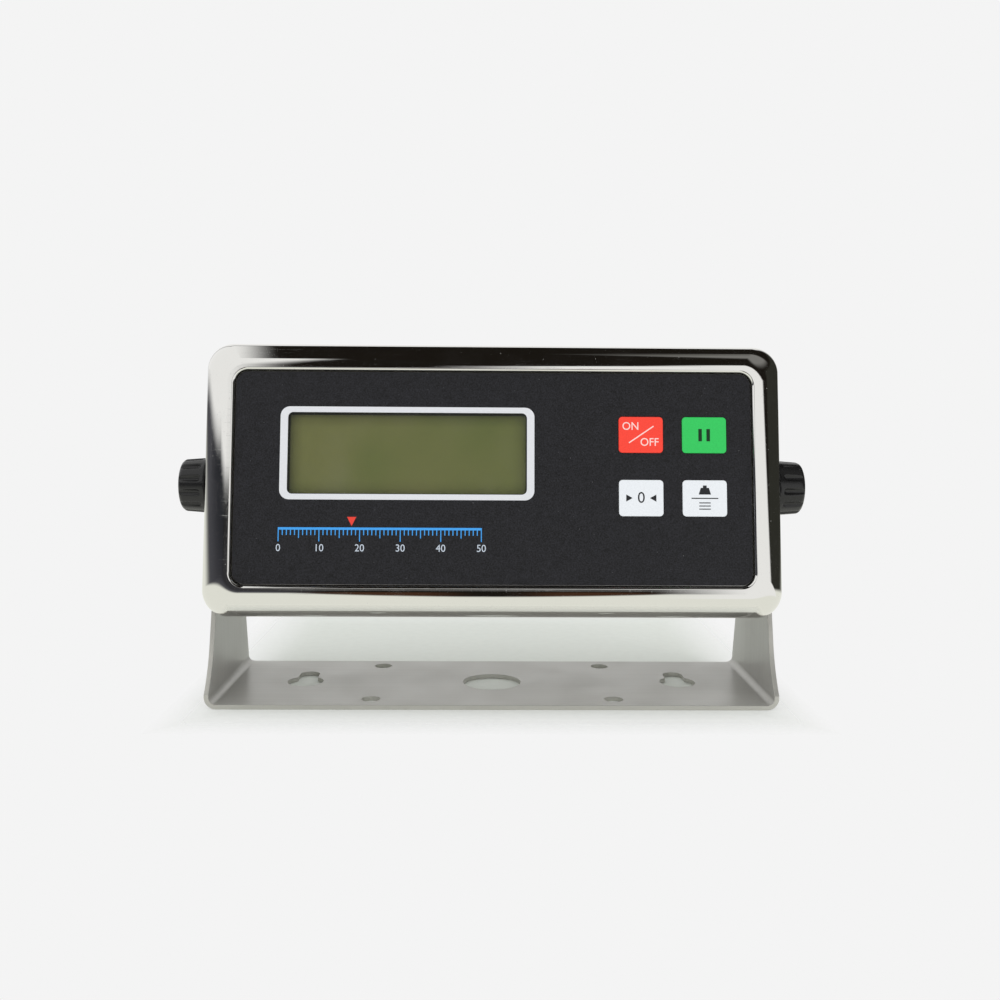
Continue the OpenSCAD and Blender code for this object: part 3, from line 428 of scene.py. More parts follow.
MOULDED = {
    "knob_black": (linear(20, 20, 21), 0.27), "black_rubber": (linear(34, 34, 34), 0.75),
    "seal_rubber": (linear(44, 44, 44), 0.80), "white_plastic": (linear(228, 228, 222), 0.50),
    "light_guide": (linear(236, 236, 228), 0.25), "cream_plastic": (linear(226, 220, 200), 0.50),
    "chip_black": (linear(38, 38, 40), 0.55), "capacitor_sleeve": (linear(34, 52, 104), 0.35),
    "battery_case": (linear(54, 56, 62), 0.55), "lead_sleeve": (linear(96, 36, 34), 0.45),
    "black_insulator": (linear(36, 36, 38), 0.45), "flex_tail": (linear(176, 122, 54), 0.35),
    "circuit_film": (linear(58, 56, 52), 0.40), "green_board": (linear(30, 112, 62), 0.35),
}
for name, (colour, rough) in MOULDED.items():
    finishes[name] = moulding(name, colour, rough)
print("mouldings:", len(MOULDED))

# %% [markdown]
# Small metal parts, such as screws, sockets and nuts, are turned or plated. They share one finish function
# as well: bright metal with fine turned lines and a little tarnish.

# %% Small metal parts
def small_metal(name, colour, rough):
    finish = Finish(name, colour, rough, metallic=1.0)
    tarnish = finish.noise(160, detail=4)
    lines = finish.noise(1, detail=3, vector=finish.stretched((900, 5200, 900)))
    dull = shaded(colour, 0.72)
    finish.feed("Base Color", finish.ramp(tarnish, [(0.3, dull), (0.6, colour)]))
    finish.feed("Roughness", finish.ramp(tarnish, [(0.3, rough * 1.3), (0.7, rough * 0.8)]))
    finish.bump(lines, 0.004 * MM, 0.5)
    return finish.material


METALS = {
    "dome_steel": (linear(226, 225, 222), 0.16), "tinned_pin": (linear(222, 222, 218), 0.25),
    "brass": (linear(218, 182, 106), 0.28), "zinc_steel": (linear(186, 190, 198), 0.32),
    "tin_can": (linear(206, 208, 210), 0.30), "strap_steel": (linear(204, 204, 204), 0.34),
    "post_steel": (linear(196, 196, 196), 0.36), "stainless_screw": (linear(214, 213, 209), 0.22),
    "nickel_shell": (linear(218, 214, 206), 0.18), "tin_shell": (linear(210, 210, 202), 0.26),
    "washer_steel": (linear(214, 213, 209), 0.30), "stud_steel": (linear(192, 193, 196), 0.32),
}
for name, (colour, rough) in METALS.items():
    finishes[name] = small_metal(name, colour, rough)
for part, thing in parts.items():
    thing.data.materials.clear()
    thing.data.materials.append(finishes[slot_of_part[part]])
print("metals:", len(METALS), "parts dressed:", len(parts))

# %% [markdown]
# Now the shapes. Pressed sheet metal is best drawn as a sweep: the same rounded rectangle, again and again,
# each time a little smaller or deeper. A station gives the width, height and corner radius of one such ring,
# its depth, and which way the metal faces there: 0 degrees is sideways out, 90 degrees is to the front.
# Knowing the facing exactly lets us hand the mirror its true normals, so reflections flow without facets.

# %% Sweeping a rounded rectangle
CORNER_STEPS = 24


def ring_points(width, height, radius):
    """Points round a rounded rectangle, seen from the front, each with the direction that faces outwards."""
    radius = max(radius, 0.02 * MM)
    for quarter in range(4):
        sign_x = 1 if quarter in (0, 3) else -1
        sign_z = 1 if quarter in (0, 1) else -1
        for step in range(CORNER_STEPS + 1):
            angle = math.radians(90 * (quarter + step / CORNER_STEPS))
            outward = Vector((math.cos(angle), 0, math.sin(angle)))
            centre = Vector((sign_x * (width / 2 - radius), 0, sign_z * (height / 2 - radius)))
            yield centre + outward * radius, outward


def swept_shell(name, stations, centres, material, capped=False):
    """A shell through the stations, each (width, height, radius, depth, facing) or with a second facing
    where the metal has an edge. Each has a centre in X and Z, and depth runs into the case. The last ring
    joins the first again, or it gets a flat cap."""
    points, normals = [], []
    for (width, height, radius, depth, *facings), centre in zip(stations, centres):
        for place, outward in ring_points(width, height, radius):
            points.append(place + Vector((centre[0], depth, centre[1])))
            normals.append([outward * math.cos(math.radians(f)) - Vector((0, math.sin(math.radians(f)), 0))
                            for f in (facings[0], facings[-1])])
    around = 4 * (CORNER_STEPS + 1)
    faces, corner_normals = [], []
    last = len(stations) - 1 if capped else len(stations)
    for ring in range(last):
        here, there = ring * around, (ring + 1) % len(stations) * around
        for i in range(around):
            j = (i + 1) % around
            faces.append((here + i, here + j, there + j, there + i))
            corner_normals += [normals[here + i][1], normals[here + j][1],
                               normals[there + j][0], normals[there + i][0]]
    if capped:
        start = last * around
        faces.append(tuple(range(start, start + around)))
        corner_normals += [normals[start + i][1] for i in range(around)]
    mesh = bpy.data.meshes.new(name)
    mesh.from_pydata(points, [], faces)
    mesh.materials.append(material)
    mesh.polygons.foreach_set("use_smooth", [True] * len(mesh.polygons))
    mesh.normals_split_custom_set([tuple(normal) for normal in corner_normals])
    return put(name, mesh)


def put(name, mesh, place=CASE):
    """A new object at the origin, whose place goes into its mesh."""
    mesh.transform(place)
    mesh.update()
    return added(name, mesh)


def final_mesh(thing):
    """The plain mesh that an object comes to once its modifiers or letters are worked out."""
    bpy.context.view_layer.update()
    return bpy.data.meshes.new_from_object(thing.evaluated_get(bpy.context.evaluated_depsgraph_get()))


def arc(start, end, steps):
    """Angles from start to end in degrees, both included, each with its cosine and its sine."""
    for i in range(steps + 1):
        angle = start + (end - start) * i / steps
        yield angle, math.cos(math.radians(angle)), math.sin(math.radians(angle))


print("a ring has", 4 * (CORNER_STEPS + 1), "points")

# %% [markdown]
# The front cover: its side runs forward, rolls over into a narrow rim, and drops into the recess that holds
# the keypad. The roll is a quarter circle as wide as the rounded corners of the case. Between the rings the
# corner radius eases from the outer corner to the corner of the recess, as drawn metal does. The inside
# follows at the thickness of the sheet, and both meet at the back edge and round the window.

# %% Front cover
SHEET = 1.2 * MM
ROLL = 11 * MM
LIP = 1.1 * MM
EDGE = 0.15 * MM
RECESS_GAP = 0.6 * MM
OVERLAY_R = 5 * MM
RECESS_R = OVERLAY_R + RECESS_GAP
WINDOW_EDGE = 0.6 * MM
WINDOW_R = 2.2 * MM
recess_w = overlay.size.x + 2 * RECESS_GAP
recess_h = overlay.size.z + 2 * RECESS_GAP
floor_front = Box("keypad_circuit").high.y
floor_back = floor_front + SHEET
border_x = (cover.size.x - recess_w) / 2


def cover_ring(inset, depth, *facings):
    """A ring of the roll, whose corner radius eases towards that of the recess."""
    return (cover.size.x - 2 * inset, cover.size.z - 2 * inset,
            ROLL + (RECESS_R - ROLL) * inset / border_x, depth, *facings)


def inset_ring(inset, depth, *facings):
    """A ring a fixed distance inside the outer side."""
    return (cover.size.x - 2 * inset, cover.size.z - 2 * inset, ROLL - inset, depth, *facings)


def recess_ring(grow, depth, *facings):
    """A ring round the recess, grown by a distance."""
    return (recess_w + 2 * grow, recess_h + 2 * grow, RECESS_R + grow, depth, *facings)


rim, back = cover.low.y, cover.high.y
cover_stations = [inset_ring(SHEET, back - EDGE, 180, 225), inset_ring(SHEET / 2, back, 270),
                  inset_ring(EDGE, back, 270, 315), inset_ring(0, back - EDGE, 315, 0)]
for angle, cosine, sine in arc(0, 90, 24):
    cover_stations.append(cover_ring(ROLL * (1 - cosine), rim + ROLL * (1 - sine), angle))
for angle, cosine, sine in arc(90, 180, 8):
    cover_stations.append(recess_ring(LIP * (1 + cosine), rim + LIP * (1 - sine), angle))
for angle, cosine, sine in arc(180, 90, 6):
    cover_stations.append(recess_ring(-LIP / 2 * (1 + cosine), floor_front - LIP / 2 * (1 - sine), angle))
hole = (window.size.x + 2 * WINDOW_EDGE, window.size.z + 2 * WINDOW_EDGE, WINDOW_R)
print("cover stations:", len(cover_stations), "rim and back in mm:", [round(y / MM, 2) for y in (rim, back)])

# %% [markdown]
# The recess floor carries on from the last ring to the window hole, which doesn't lie in the middle. A flat
# ring of quads bridges the two outlines just as well. The inside of the shell comes back the same way.

# %% Floor and inside
def at_window(depth, *facings):
    """A ring round the window hole, which has its own centre."""
    return (*hole, depth, *facings)


MIDDLE = (0, 0)
WINDOW_MIDDLE = (window.middle.x, window.middle.z)
stations = cover_stations + [at_window(floor_front, 90, 180), at_window(floor_back, 180, 270),
                             recess_ring(SHEET, floor_back, 270, 0),
                             recess_ring(SHEET, rim + SHEET + LIP, 0, 300)]
centres = [MIDDLE] * len(cover_stations) + [WINDOW_MIDDLE] * 2 + [MIDDLE] * 2
inner_roll = ROLL - SHEET
for angle, cosine, sine in arc(90, 0, 8):
    inset = SHEET + inner_roll * (1 - cosine)
    stations.append(inset_ring(inset, rim + SHEET + inner_roll * (1 - sine), angle + 180))
    centres.append(MIDDLE)
front_cover = swept_shell("front_cover_shell", stations, centres, finishes["polished_steel"])
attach(front_cover, "case")
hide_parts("front_cover")
print("front cover faces:", len(front_cover.data.polygons))

# %% [markdown]
# The rear housing, the bracket and the sockets already have the right shape. What they lack is the small
# rounding that every real edge has and that catches the light. A copy is merged, its flat faces are joined,
# and a narrow bevel runs along each edge that is sharper than a set angle. Weighted normals then keep the
# flats flat.

# %% Bevelled copies of parts
MERGE_WITHIN = 0.002 * MM
SHARP_DEG = 30


def rounded_copy(name, members, bevel, seam=None):
    """One piece that stands for parts of the same finish, with a narrow round along its edges. Where the
    parts meet at a seam, a distance from the middle in X, the faces inside the metal drop out."""
    work = bmesh.new()
    for part in members:
        work.from_mesh(parts[part].data)
    inside = [face for face in work.faces if seam and abs(face.normal.x) > 0.9
              and abs(abs(face.calc_center_median().x) - seam) < 0.01 * MM]
    bmesh.ops.delete(work, geom=inside, context="FACES")
    bmesh.ops.remove_doubles(work, verts=work.verts, dist=MERGE_WITHIN)
    bmesh.ops.dissolve_limit(work, angle_limit=math.radians(0.5), verts=work.verts, edges=work.edges)
    mesh = bpy.data.meshes.new(name)
    work.to_mesh(mesh)
    work.free()
    mesh.materials.append(finishes[slot_of_part[members[0]]])
    mesh.polygons.foreach_set("use_smooth", [True] * len(mesh.polygons))
    made = put(name, mesh, Matrix.Identity(4))
    edge = made.modifiers.new("edge", "BEVEL")
    edge.width = bevel
    edge.segments = 2
    edge.limit_method = "ANGLE"
    edge.angle_limit = math.radians(SHARP_DEG)
    edge.harden_normals = True
    made.modifiers.new("even", "WEIGHTED_NORMAL").weight = 100
    made.data = final_mesh(made)
    made.modifiers.clear()
    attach(made, body_of_part[members[0]])
    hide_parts(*members)
    return made


rear_housing = rounded_copy("rear_housing_shell", ["rear_housing"], 0.15 * MM)
SMALL_EDGES = {"load_cell_socket": 0.2, "serial_socket": 0.15, "power_inlet": 0.2, "case_washers": 0.1,
               "case_screws": 0.25, "serial_jack_screws": 0.15}
for part, bevel in SMALL_EDGES.items():
    rounded_copy(part + "_round", [part], bevel * MM)
print("housing faces:", len(rear_housing.data.polygons), "small parts:", len(SMALL_EDGES))

# %% [markdown]
# The bracket is one bent plate, which the packed model splits at its bends. Here it becomes one piece again.
# Shears and a punch cut it, and they leave a paler, coarser edge than the mill does on the faces. A face
# belongs to the cut edge if it looks square to the thickness of the plate: upwards on the base, sideways on
# the arms, and away from the bend's axis in between.

# %% Bracket
BRACKET = ["bracket_base", "bracket_arm_left", "bracket_arm_right"]
bend_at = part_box("bracket_base")[1].x
bend_axis_z = cad_low.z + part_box("bracket_arm_right")[1].x - bend_at
bracket = rounded_copy("bracket_plate", BRACKET, 0.22 * MM, seam=bend_at)
bracket.data.materials.append(finishes["cut_edge"])
for face in bracket.data.polygons:
    x, y, z = face.center
    through = Vector((math.copysign(max(0, abs(x) - bend_at), x), 0, min(0, z - bend_axis_z))).normalized()
    if abs(through.dot(face.normal)) < 0.5:
        face.material_index = 1
print("bracket faces:", len(bracket.data.polygons),
      "of them cut edge:", sum(face.material_index for face in bracket.data.polygons))

# %% [markdown]
# The keys are embossed in the film: each stands a little proud, with a round edge. They are swept like the
# cover, from the skirt below the sheet to the flat top.

# %% Keys
KEY_R = 1.6 * MM
KEY_ROUND = 0.28 * MM


def key_cap(part):
    room = Box(part)
    stations = [(room.size.x - KEY_R, room.size.z - KEY_R, KEY_R / 2, room.high.y, 270),
                (room.size.x, room.size.z, KEY_R, room.high.y, 0)]
    for angle, cosine, sine in arc(0, 90, 6):
        inset = KEY_ROUND * (1 - cosine)
        stations.append((room.size.x - 2 * inset, room.size.z - 2 * inset, KEY_R - inset,
                         room.low.y + KEY_ROUND * (1 - sine), angle))
    cap = swept_shell(part + "_cap", stations, [(room.middle.x, room.middle.z)] * len(stations),
                      finishes[slot_of_part[part]], capped=True)
    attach(cap, body_of_part[part])
    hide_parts(part)
    return room


KEYS = ["key_on_off", "key_hold", "key_zero", "key_unit"]
key_rooms = {part: key_cap(part) for part in KEYS}
print("key in mm:", [round(side / MM, 2) for side in key_rooms["key_hold"].size])

# %% [markdown]
# What is printed on the keys lies flat on them, a hundredth of a millimetre thick. The on and off key has its
# two words. The others get plain signs: two bars to hold the reading, a nought between two marks to set zero,
# and a small weight above a sheet of paper. Words come from a text object that is turned into a mesh, and
# signs are short strokes. Both are drawn lying down and then stood up against the front of their part.

# %% Printing helpers
INK = 0.012 * MM
CAPITAL_SHARE = 0.70
paper_of = {**key_rooms, "keypad_overlay": overlay}


def lay_print(name, mesh, ink, part, place=(0, 0), condense=1.0):
    """Stands a drawing up at a place on the front of a part, inks it and lets it ride with the part."""
    front = paper_of[part].low.y - INK
    mesh.transform(Matrix(((condense, 0, 0, place[0]), (0, 0, -1, front), (0, 1, 0, place[1]), (0, 0, 0, 1))))
    mesh.materials.clear()
    mesh.materials.append(finishes[ink])
    made = put(name, mesh)
    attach(made, body_of_part[part])


def print_signs(name, outlines, ink, part):
    """Signs from closed outlines in X and Z."""
    work = bmesh.new()
    for outline in outlines:
        face = work.faces.new([work.verts.new((x, z, 0)) for x, z in outline])
        face.normal_update()
        if face.normal.z < 0:
            face.normal_flip()
    mesh = bpy.data.meshes.new(name)
    work.to_mesh(mesh)
    work.free()
    lay_print(name, mesh, ink, part)


def print_words(name, text, height, place, ink, part, condense=1.0, bold=0.0):
    """A word whose capitals are height tall, centred on its place."""
    curve = bpy.data.curves.new(name, "FONT")
    curve.body = text
    curve.align_x = "CENTER"
    curve.align_y = "CENTER"
    curve.size = height / CAPITAL_SHARE
    curve.offset = bold
    curve.resolution_u = 4
    words = added(name + "_curve", curve)
    mesh = final_mesh(words)
    bpy.data.objects.remove(words)
    mesh.name = name
    lay_print(name, mesh, ink, part, place, condense)


def bar(start, end, wide):
    """The outline of a straight stroke from one point to another."""
    start, end = Vector(start), Vector(end)
    along = (end - start).normalized()
    aside = Vector((-along.y, along.x)) * wide / 2
    return [start + aside, start - aside, end - aside, end + aside]


print("ink in mm:", INK / MM)

# %% The prints on the keys
def on_key(part, x_mm, z_mm):
    """A place on a key, counted in millimetres from its middle."""
    middle = key_rooms[part].middle
    return middle.x + x_mm * MM, middle.z + z_mm * MM


WORD_H, WORD_BOLD, NARROW = 3.3 * MM, 0.022 * MM, 0.95
for word, x_mm, z_mm in (("ON", -4.3, 3.5), ("OFF", 3.6, -3.2)):
    print_words("print_" + word.lower(), word, WORD_H, on_key("key_on_off", x_mm, z_mm), "print_pale",
                "key_on_off", NARROW, WORD_BOLD)
slash = bar(on_key("key_on_off", -5.0, -3.4), on_key("key_on_off", 5.4, 3.7), 0.5 * MM)
print_signs("print_slash", [slash], "print_pale", "key_on_off")
hold_bars = [bar(on_key("key_hold", x, -2.6), on_key("key_hold", x, 2.6), 1.5 * MM) for x in (-1.7, 1.7)]
print_signs("print_hold", hold_bars, "print_green", "key_hold")
print_words("print_nought", "0", 4.6 * MM, on_key("key_zero", 0, 0), "print_black", "key_zero", 1.0, 0.010 * MM)
marks = [[on_key("key_zero", s * x, z) for x, z in ((6.3, 1.5), (3.6, 0), (6.3, -1.5))] for s in (-1, 1)]
print_signs("print_zero_marks", marks, "print_black", "key_zero")
WEIGHT_MM = ((-2.6, 1.6), (2.6, 1.6), (1.7, 4.4), (0.8, 4.4), (0.8, 5.4), (-0.8, 5.4), (-0.8, 4.4), (-1.7, 4.4))
rule = bar(on_key("key_unit", -5.6, 0), on_key("key_unit", 5.6, 0), 0.45 * MM)
sheet_lines = [bar(on_key("key_unit", -2.4, z), on_key("key_unit", 2.4, z), 0.42 * MM)
               for z in (-1.9, -3.2, -4.5)]
weight = [on_key("key_unit", x, z) for x, z in WEIGHT_MM]
print_signs("print_unit", [rule, weight, *sheet_lines], "print_black", "key_unit")
print("prints on keys made")

# %% [markdown]
# Below the display the panel carries a printed graduation: a pale blue rule with plain numbers and a small
# red pointer. Ticks repeat, so Geometry Nodes make them. The tree lays points along a line, sets a bar on
# each, longer at every fifth and tenth, and realizes the result. The number of ticks, their pitch and their
# lengths are inputs of the tree.

# %% A tree of ticks
TICK_SIZES = {"Count": "NodeSocketInt", "Pitch": "NodeSocketFloat", "Thickness": "NodeSocketFloat",
              "Short": "NodeSocketFloat", "Middle": "NodeSocketFloat", "Long": "NodeSocketFloat",
              "Ink": "NodeSocketMaterial"}


def tick_tree():
    tree = bpy.data.node_groups.new("ticks", "GeometryNodeTree")
    for name, kind in TICK_SIZES.items():
        tree.interface.new_socket(name, in_out="INPUT", socket_type=kind)
    tree.interface.new_socket("Geometry", in_out="OUTPUT", socket_type="NodeSocketGeometry")
    grow = Nodes(tree)
    given = grow.node("NodeGroupInput").outputs
    index = grow.node("GeometryNodeInputIndex").outputs[0]

    def step(kind, inputs):
        return grow.node(kind, inputs).outputs[0]

    def at_every(number, plain, special):
        """The special length at every so many ticks, and the plain one at the others."""
        chosen = grow.calc("LESS_THAN", grow.calc("MODULO", index, number), 0.5)
        return grow.calc("ADD", plain, grow.calc("MULTIPLY", chosen, grow.calc("SUBTRACT", special, plain)))

    length = at_every(10, at_every(5, given["Short"], given["Middle"]), given["Long"])
    line = step("GeometryNodeMeshLine", {"Count": given["Count"],
                                         "Offset": step("ShaderNodeCombineXYZ", {"X": given["Pitch"]})})
    square = step("GeometryNodeMeshGrid", {"Size X": 1, "Size Y": 1, "Vertices X": 2, "Vertices Y": 2})
    size = step("ShaderNodeCombineXYZ", {"X": given["Thickness"], "Y": length, "Z": 1})
    spread = step("GeometryNodeInstanceOnPoints", {"Points": line, "Instance": square, "Scale": size})
    drop = step("ShaderNodeCombineXYZ", {"Y": grow.calc("MULTIPLY", length, -0.5)})
    lowered = step("GeometryNodeTranslateInstances", {"Instances": spread, "Translation": drop,
                                                      "Local Space": False})
    real = step("GeometryNodeRealizeInstances", {"Geometry": lowered})
    inked = step("GeometryNodeSetMaterial", {"Geometry": real, "Material": given["Ink"]})
    grow.node("NodeGroupOutput", {"Geometry": inked})
    return tree


def grown(name, tree, **inputs):
    """Runs a tree with its named inputs and returns the result as a plain mesh."""
    carrier = added(name, bpy.data.meshes.new(name))
    modifier = carrier.modifiers.new("grow", "NODES")
    modifier.node_group = tree
    for item in tree.interface.items_tree:
        if item.in_out == "INPUT" and item.name in inputs:
            modifier[item.identifier] = inputs[item.name]
    mesh = final_mesh(carrier)
    bpy.data.objects.remove(carrier)
    mesh.name = name
    return mesh


ticks = tick_tree()
print("tick tree has", len(ticks.nodes), "nodes")

# %% The printed graduation
PANEL = "keypad_overlay"
RULE_COUNT, RULE_W = 51, 84 * MM
RULE_LEFT, RULE_TOP = border.low.x, border.low.z - 12.6 * MM
RULE_PAST, RULE_MIDDLE = 0.2 * MM, RULE_TOP + 0.5 * MM
tick_mesh = grown("print_ticks", ticks, Count=RULE_COUNT, Pitch=RULE_W / (RULE_COUNT - 1), Thickness=0.40 * MM,
                  Short=2.2 * MM, Middle=3.4 * MM, Long=4.8 * MM, Ink=finishes["print_blue"])
lay_print("print_ticks", tick_mesh, "print_blue", PANEL, (RULE_LEFT, RULE_TOP))
base_line = bar((RULE_LEFT - RULE_PAST, RULE_MIDDLE), (RULE_LEFT + RULE_W + RULE_PAST, RULE_MIDDLE), 1.0 * MM)
print_signs("print_rule", [base_line], "print_blue", PANEL)
for number in range(6):
    place = (RULE_LEFT + RULE_W * number / 5, RULE_TOP - 7.6 * MM)
    print_words(f"print_number_{number}", str(number * 10), 3.0 * MM, place, "print_ash", PANEL,
                NARROW, 0.004 * MM)
tip_x, tip_z = RULE_LEFT + RULE_W * 0.36, RULE_TOP + 1.6 * MM
pointer = [(tip_x + x * MM, tip_z + z * MM) for x, z in ((0, 0), (-1.9, 3.8), (1.9, 3.8))]
print_signs("print_pointer", [pointer], "print_red", PANEL)
print("graduation with", RULE_COUNT, "ticks")

# %% [markdown]
# A knob is turned around the tilt axis, and its flutes are cut with a ball-nosed tool from the outer end. Both
# follow a rule, so the knob is a grid: for each place along the axis and each angle, the radius is the
# smaller of the turned profile and the floor of the nearest flute. A soft minimum rounds the flutes' edges.

# %% Knobs
GRIP_R, GRIP_TAPER, GRIP_EDGE, GRIP_DOME = 12.4 * MM, 0.7 * MM, 2.2 * MM, 1.0 * MM
HUB_R, HUB_L, GRIP_L = 7 * MM, 5.4 * MM, 12 * MM
FLUTES, FLUTE_R, FLUTE_L = 12, 1.5 * MM, 8.5 * MM
FLUTE_SOFT = 0.22 * MM
KNOB_TURNS = {"knob_right": 13, "knob_left": 21}
AROUND = FLUTES * 20


def knob_profile():
    """Pairs of distance from the arm and radius, from the hub's inner face to the middle of the domed end."""
    bevel = 0.4 * MM
    points = [(0, HUB_R - bevel), (bevel, HUB_R), (HUB_L - bevel, HUB_R), (HUB_L, HUB_R + bevel)]
    points += [(HUB_L, GRIP_R - bevel), (HUB_L + bevel / 3, GRIP_R - bevel / 3), (HUB_L + bevel, GRIP_R)]
    edge_at, edge_centre = HUB_L + GRIP_L - GRIP_EDGE, GRIP_R - GRIP_TAPER - GRIP_EDGE
    steps = 18
    for i in range(1, steps):
        share = i / steps
        points.append((HUB_L + bevel + (edge_at - HUB_L - bevel) * share, GRIP_R - GRIP_TAPER * share))
    for _, cosine, sine in arc(0, 80, 8):
        points.append((edge_at + GRIP_EDGE * sine, edge_centre + GRIP_EDGE * cosine))
    end = HUB_L + GRIP_L
    for i in range(1, 9):
        share = 1 - i / 9
        points.append((end + GRIP_DOME * (1 - share * share), edge_centre * share))
    return points


def flute_floor(along, off_angle):
    """Radius of the flute's floor at a distance along the knob and an angle from the flute's middle."""
    start = HUB_L + GRIP_L - FLUTE_L
    reach = FLUTE_R ** 2 - max(0.0, start - along) ** 2
    side = GRIP_R * math.sin(off_angle)
    if reach <= side * side:
        return GRIP_R * 2
    return GRIP_R * math.cos(off_angle) - math.sqrt(reach - side * side)


def soft_smaller(a, b):
    """The smaller of two radii, with a round where they cross."""
    blend = max(0.0, FLUTE_SOFT - abs(a - b)) / FLUTE_SOFT
    return min(a, b) - blend * blend * FLUTE_SOFT / 4


print("flutes:", FLUTES)

# %% Each knob as a grid
def knob(part):
    side = 1 if part == "knob_right" else -1
    start = abs(min(Box(part).low.x, Box(part).high.x, key=abs))
    profile = knob_profile()
    points, faces = [], []
    for along, radius in profile:
        for i in range(AROUND):
            angle = 2 * math.pi * i / AROUND
            nearest = (angle + math.pi / FLUTES) % (2 * math.pi / FLUTES) - math.pi / FLUTES
            r = radius
            if along > HUB_L and radius > FLUTE_R:
                r = soft_smaller(radius, flute_floor(along, nearest))
            a = angle + math.radians(KNOB_TURNS[part])
            points.append((side * (start + along), r * math.cos(a), r * math.sin(a)))
    for ring in range(len(profile) - 1):
        for i in range(AROUND):
            j = (i + 1) % AROUND
            faces.append((ring * AROUND + i, ring * AROUND + j,
                          (ring + 1) * AROUND + j, (ring + 1) * AROUND + i))
    points += [(side * start, 0, 0), (side * (start + HUB_L + GRIP_L + GRIP_DOME), 0, 0)]
    inner, outer = len(points) - 2, len(points) - 1
    last = (len(profile) - 1) * AROUND
    for i in range(AROUND):
        j = (i + 1) % AROUND
        faces += [(inner, j, i), (outer, last + i, last + j)]
    mesh = bpy.data.meshes.new(part + "_grip")
    mesh.from_pydata(points, [], faces)
    mesh.materials.append(finishes["knob_black"])
    mesh.polygons.foreach_set("use_smooth", [True] * len(mesh.polygons))
    work = bmesh.new()
    work.from_mesh(mesh)
    bmesh.ops.recalc_face_normals(work, faces=work.faces)
    work.to_mesh(mesh)
    work.free()
    made = put(part + "_grip", mesh)
    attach(made, body_of_part[part])
    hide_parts(part)
    return made


knobs = [knob(part) for part in KNOB_TURNS]
print("knob faces:", [len(thing.data.polygons) for thing in knobs])

# %% [markdown]
# The picture needs a place to stand. The floor is a pale disc that fades into the white surroundings a little
# way outside the bracket, so no horizon shows, and it keeps the soft shadow under and behind the case.

# %% Floor
FLOOR_R = 0.6
SIDE_FADE, FRONT_FADE, BACK_FADE = (0.100, 0.136), (0.026, 0.070), (0.13, 0.25)
floor_mesh = bpy.data.meshes.new("floor")
work = bmesh.new()
bmesh.ops.create_circle(work, cap_ends=True, segments=96, radius=FLOOR_R)
work.to_mesh(floor_mesh)
work.free()
floor = put("floor", floor_mesh, Matrix.Translation((0, 0, cad_low.z)))
paper = Finish("floor_paper", linear(226, 230, 224), 0.9, Specular_IOR_Level=0.1)
paper.feed("Base Color", paper.ramp(paper.noise(220, detail=3),
                                    [(0.3, linear(225, 229, 223)), (0.7, linear(228, 232, 226))]))
floor_mesh.materials.append(paper.material)
aside, behind, _ = paper.node("ShaderNodeSeparateXYZ", {0: paper.place}).outputs
fade = 0.0
for reach, (starts, ends) in ((paper.calc("ABSOLUTE", aside), SIDE_FADE),
                              (paper.calc("MULTIPLY", behind, -1), FRONT_FADE), (behind, BACK_FADE)):
    fade = paper.calc("MAXIMUM", fade, paper.ramp(reach, [(starts, 0.0), (ends, 1.0)]))
clear = paper.node("ShaderNodeBsdfTransparent").outputs[0]
blend = paper.node("ShaderNodeMixShader", {0: fade, 1: paper.surface.outputs[0], 2: clear}).outputs[0]
paper.join(blend, paper.tree.nodes["Material Output"].inputs["Surface"])
print("floor radius in m:", FLOOR_R)

# %% [markdown]
# The polished cover is only as good as what it mirrors, so the surroundings matter most. They are painted on
# the sky by direction: the turn is counted from behind the camera, to its right, and the rise from the
# horizon, both in degrees. Each field lies over those before it and has soft edges, which may slope. Only
# mirrors and clear pieces see the fields. The camera sees a plain backdrop, and soft white light falls on
# everything else.

# %% Fields on the sky
BACKDROP = linear(244, 244, 244)
world = bpy.data.worlds.new("studio")
bpy.context.scene.world = world
world.use_nodes = True
sky = Nodes(world.node_tree)
sky.tree.nodes.clear()
toward = sky.node("ShaderNodeSeparateXYZ", {0: sky.node("ShaderNodeTexCoord").outputs["Generated"]})
side, depth, height = toward.outputs
rise_deg = sky.calc("MULTIPLY", sky.calc("ARCSINE", height), 180 / math.pi)
turn_deg = sky.calc("MULTIPLY", sky.calc("ARCTAN2", side, sky.calc("MULTIPLY", depth, -1)), 180 / math.pi)


def past(value, edge, soft):
    """Nought below an edge and one above it, with a soft step as wide as soft."""
    return sky.node("ShaderNodeMapRange", {"Value": sky.calc("SUBTRACT", value, edge), "From Min": -soft / 2,
                                           "From Max": soft / 2}, interpolation_type="SMOOTHSTEP").outputs[0]


def before(value, edge, soft):
    return sky.calc("SUBTRACT", 1, past(value, edge, soft))


def between(value, ends, soft):
    return sky.calc("MULTIPLY", past(value, ends[0], soft), before(value, ends[1], soft))


def patch(turns, rises, turn_soft, rise_soft):
    """A field between two turns and two rises."""
    return sky.calc("MULTIPLY", between(turn_deg, turns, turn_soft), between(rise_deg, rises, rise_soft))


def sloped(base, slope, along=turn_deg):
    """An edge that changes over the sky."""
    return sky.calc("ADD", base, sky.calc("MULTIPLY", along, slope))


print("sky helpers made")

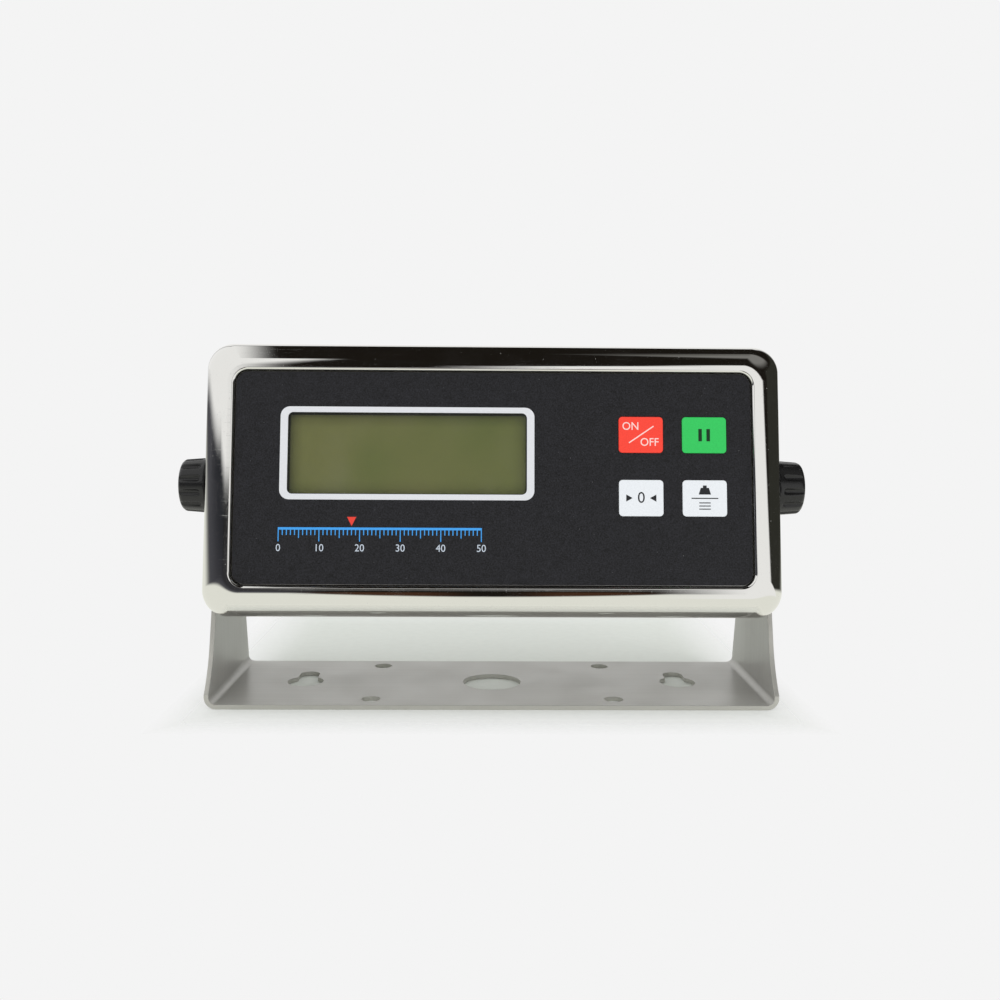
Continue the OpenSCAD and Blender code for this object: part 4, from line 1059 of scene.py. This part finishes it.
# %% What the steel mirrors
PAPER, CARD, GREY = linear(248, 248, 247), linear(128, 127, 124), linear(76, 76, 81)
SHADE, DUSK, SLATE = linear(27, 24, 20), linear(42, 43, 48), linear(48, 48, 43)
TABLE, WOOD = linear(238, 239, 230), linear(70, 46, 32)
table_edge = sky.calc("MINIMUM", sloped(-15, 0.13, sky.calc("MULTIPLY", turn_deg, turn_deg)), -1)
left_edge = sky.calc("MINIMUM", 15.2, sloped(20.5, 0.125))
right_edge = sloped(68, -1.6, rise_deg)
all_behind = sky.calc("SUBTRACT", 1, between(turn_deg, (-152, 152), 12))
sweep_high = sky.calc("MULTIPLY", past(rise_deg, 1, 6), before(rise_deg, 43, 3))
FIELDS = {
    "dark right half": (past(turn_deg, -15, 20), SHADE),
    "ceiling": (past(rise_deg, 20, 6), SHADE),
    "left wall": (patch((-190, -90), (-20, 30), 12, 6), GREY),
    "foot of the wall": (patch((-165, -10), (-40, 8), 6, 12), GREY),
    "left table leg": (patch((-9, -2), (-16, 4), 4, 6), WOOD),
    "right table leg": (patch((3, 9), (-14, 6), 4, 6), WOOD),
    "table top": (before(rise_deg, table_edge, 8), TABLE),
    "right wall": (patch((58, 154), (-8, 30), 10, 8), SLATE),
    "card high on the right": (patch((34, 100), (40, 78), 12, 16), CARD),
    "paper on the right": (patch((12, right_edge), (-20, sloped(24, 0.5)), 6, 5), PAPER),
    "strip above the camera": (patch((-12, 14), (11, sloped(21.6, 0.45)), 5, 4), PAPER),
    "paper on the left": (patch((-150, -13), (left_edge, 50), 4, 2.5), PAPER),
    "paper overhead": (sky.calc("MULTIPLY", past(rise_deg, 46, 8), before(side, -0.213, 0.04)), PAPER),
    "white sweep behind": (sky.calc("MULTIPLY", all_behind, sweep_high), PAPER),
}
room = DUSK
for field, (share, colour) in FIELDS.items():
    room = sky.mixed(share, room, colour)
    room.node.label = field
rays = sky.node("ShaderNodeLightPath").outputs
mirror_share = sky.calc("MAXIMUM", rays["Is Glossy Ray"], rays["Is Transmission Ray"])
plain = sky.mixed(rays["Is Camera Ray"], linear(255, 255, 255), BACKDROP)
glow = sky.node("ShaderNodeBackground", {"Color": sky.mixed(mirror_share, plain, room)}).outputs[0]
sky.node("ShaderNodeOutputWorld", {"Surface": glow})
print("fields on the sky:", len(FIELDS))

# %% [markdown]
# One weak lamp gives the shapes a direction. It isn't mirrored, because the surroundings already are.

# %% Lamp
LAMP_AT, LAMP_TARGET = Vector((0.7, -1.1, 1.0)), Vector((0, 0, 0.08))
lamp = bpy.data.lights.new("key_light", "AREA")
lamp.size = 0.8
lamp.energy = 1.6
key_light = added("key_light", lamp)
key_light.location = LAMP_AT
key_light.rotation_euler = (LAMP_TARGET - LAMP_AT).to_track_quat("-Z", "Y").to_euler()
key_light.visible_camera = False
key_light.visible_glossy = False
print("lamp in watts:", round(lamp.energy, 2))

# %% [markdown]
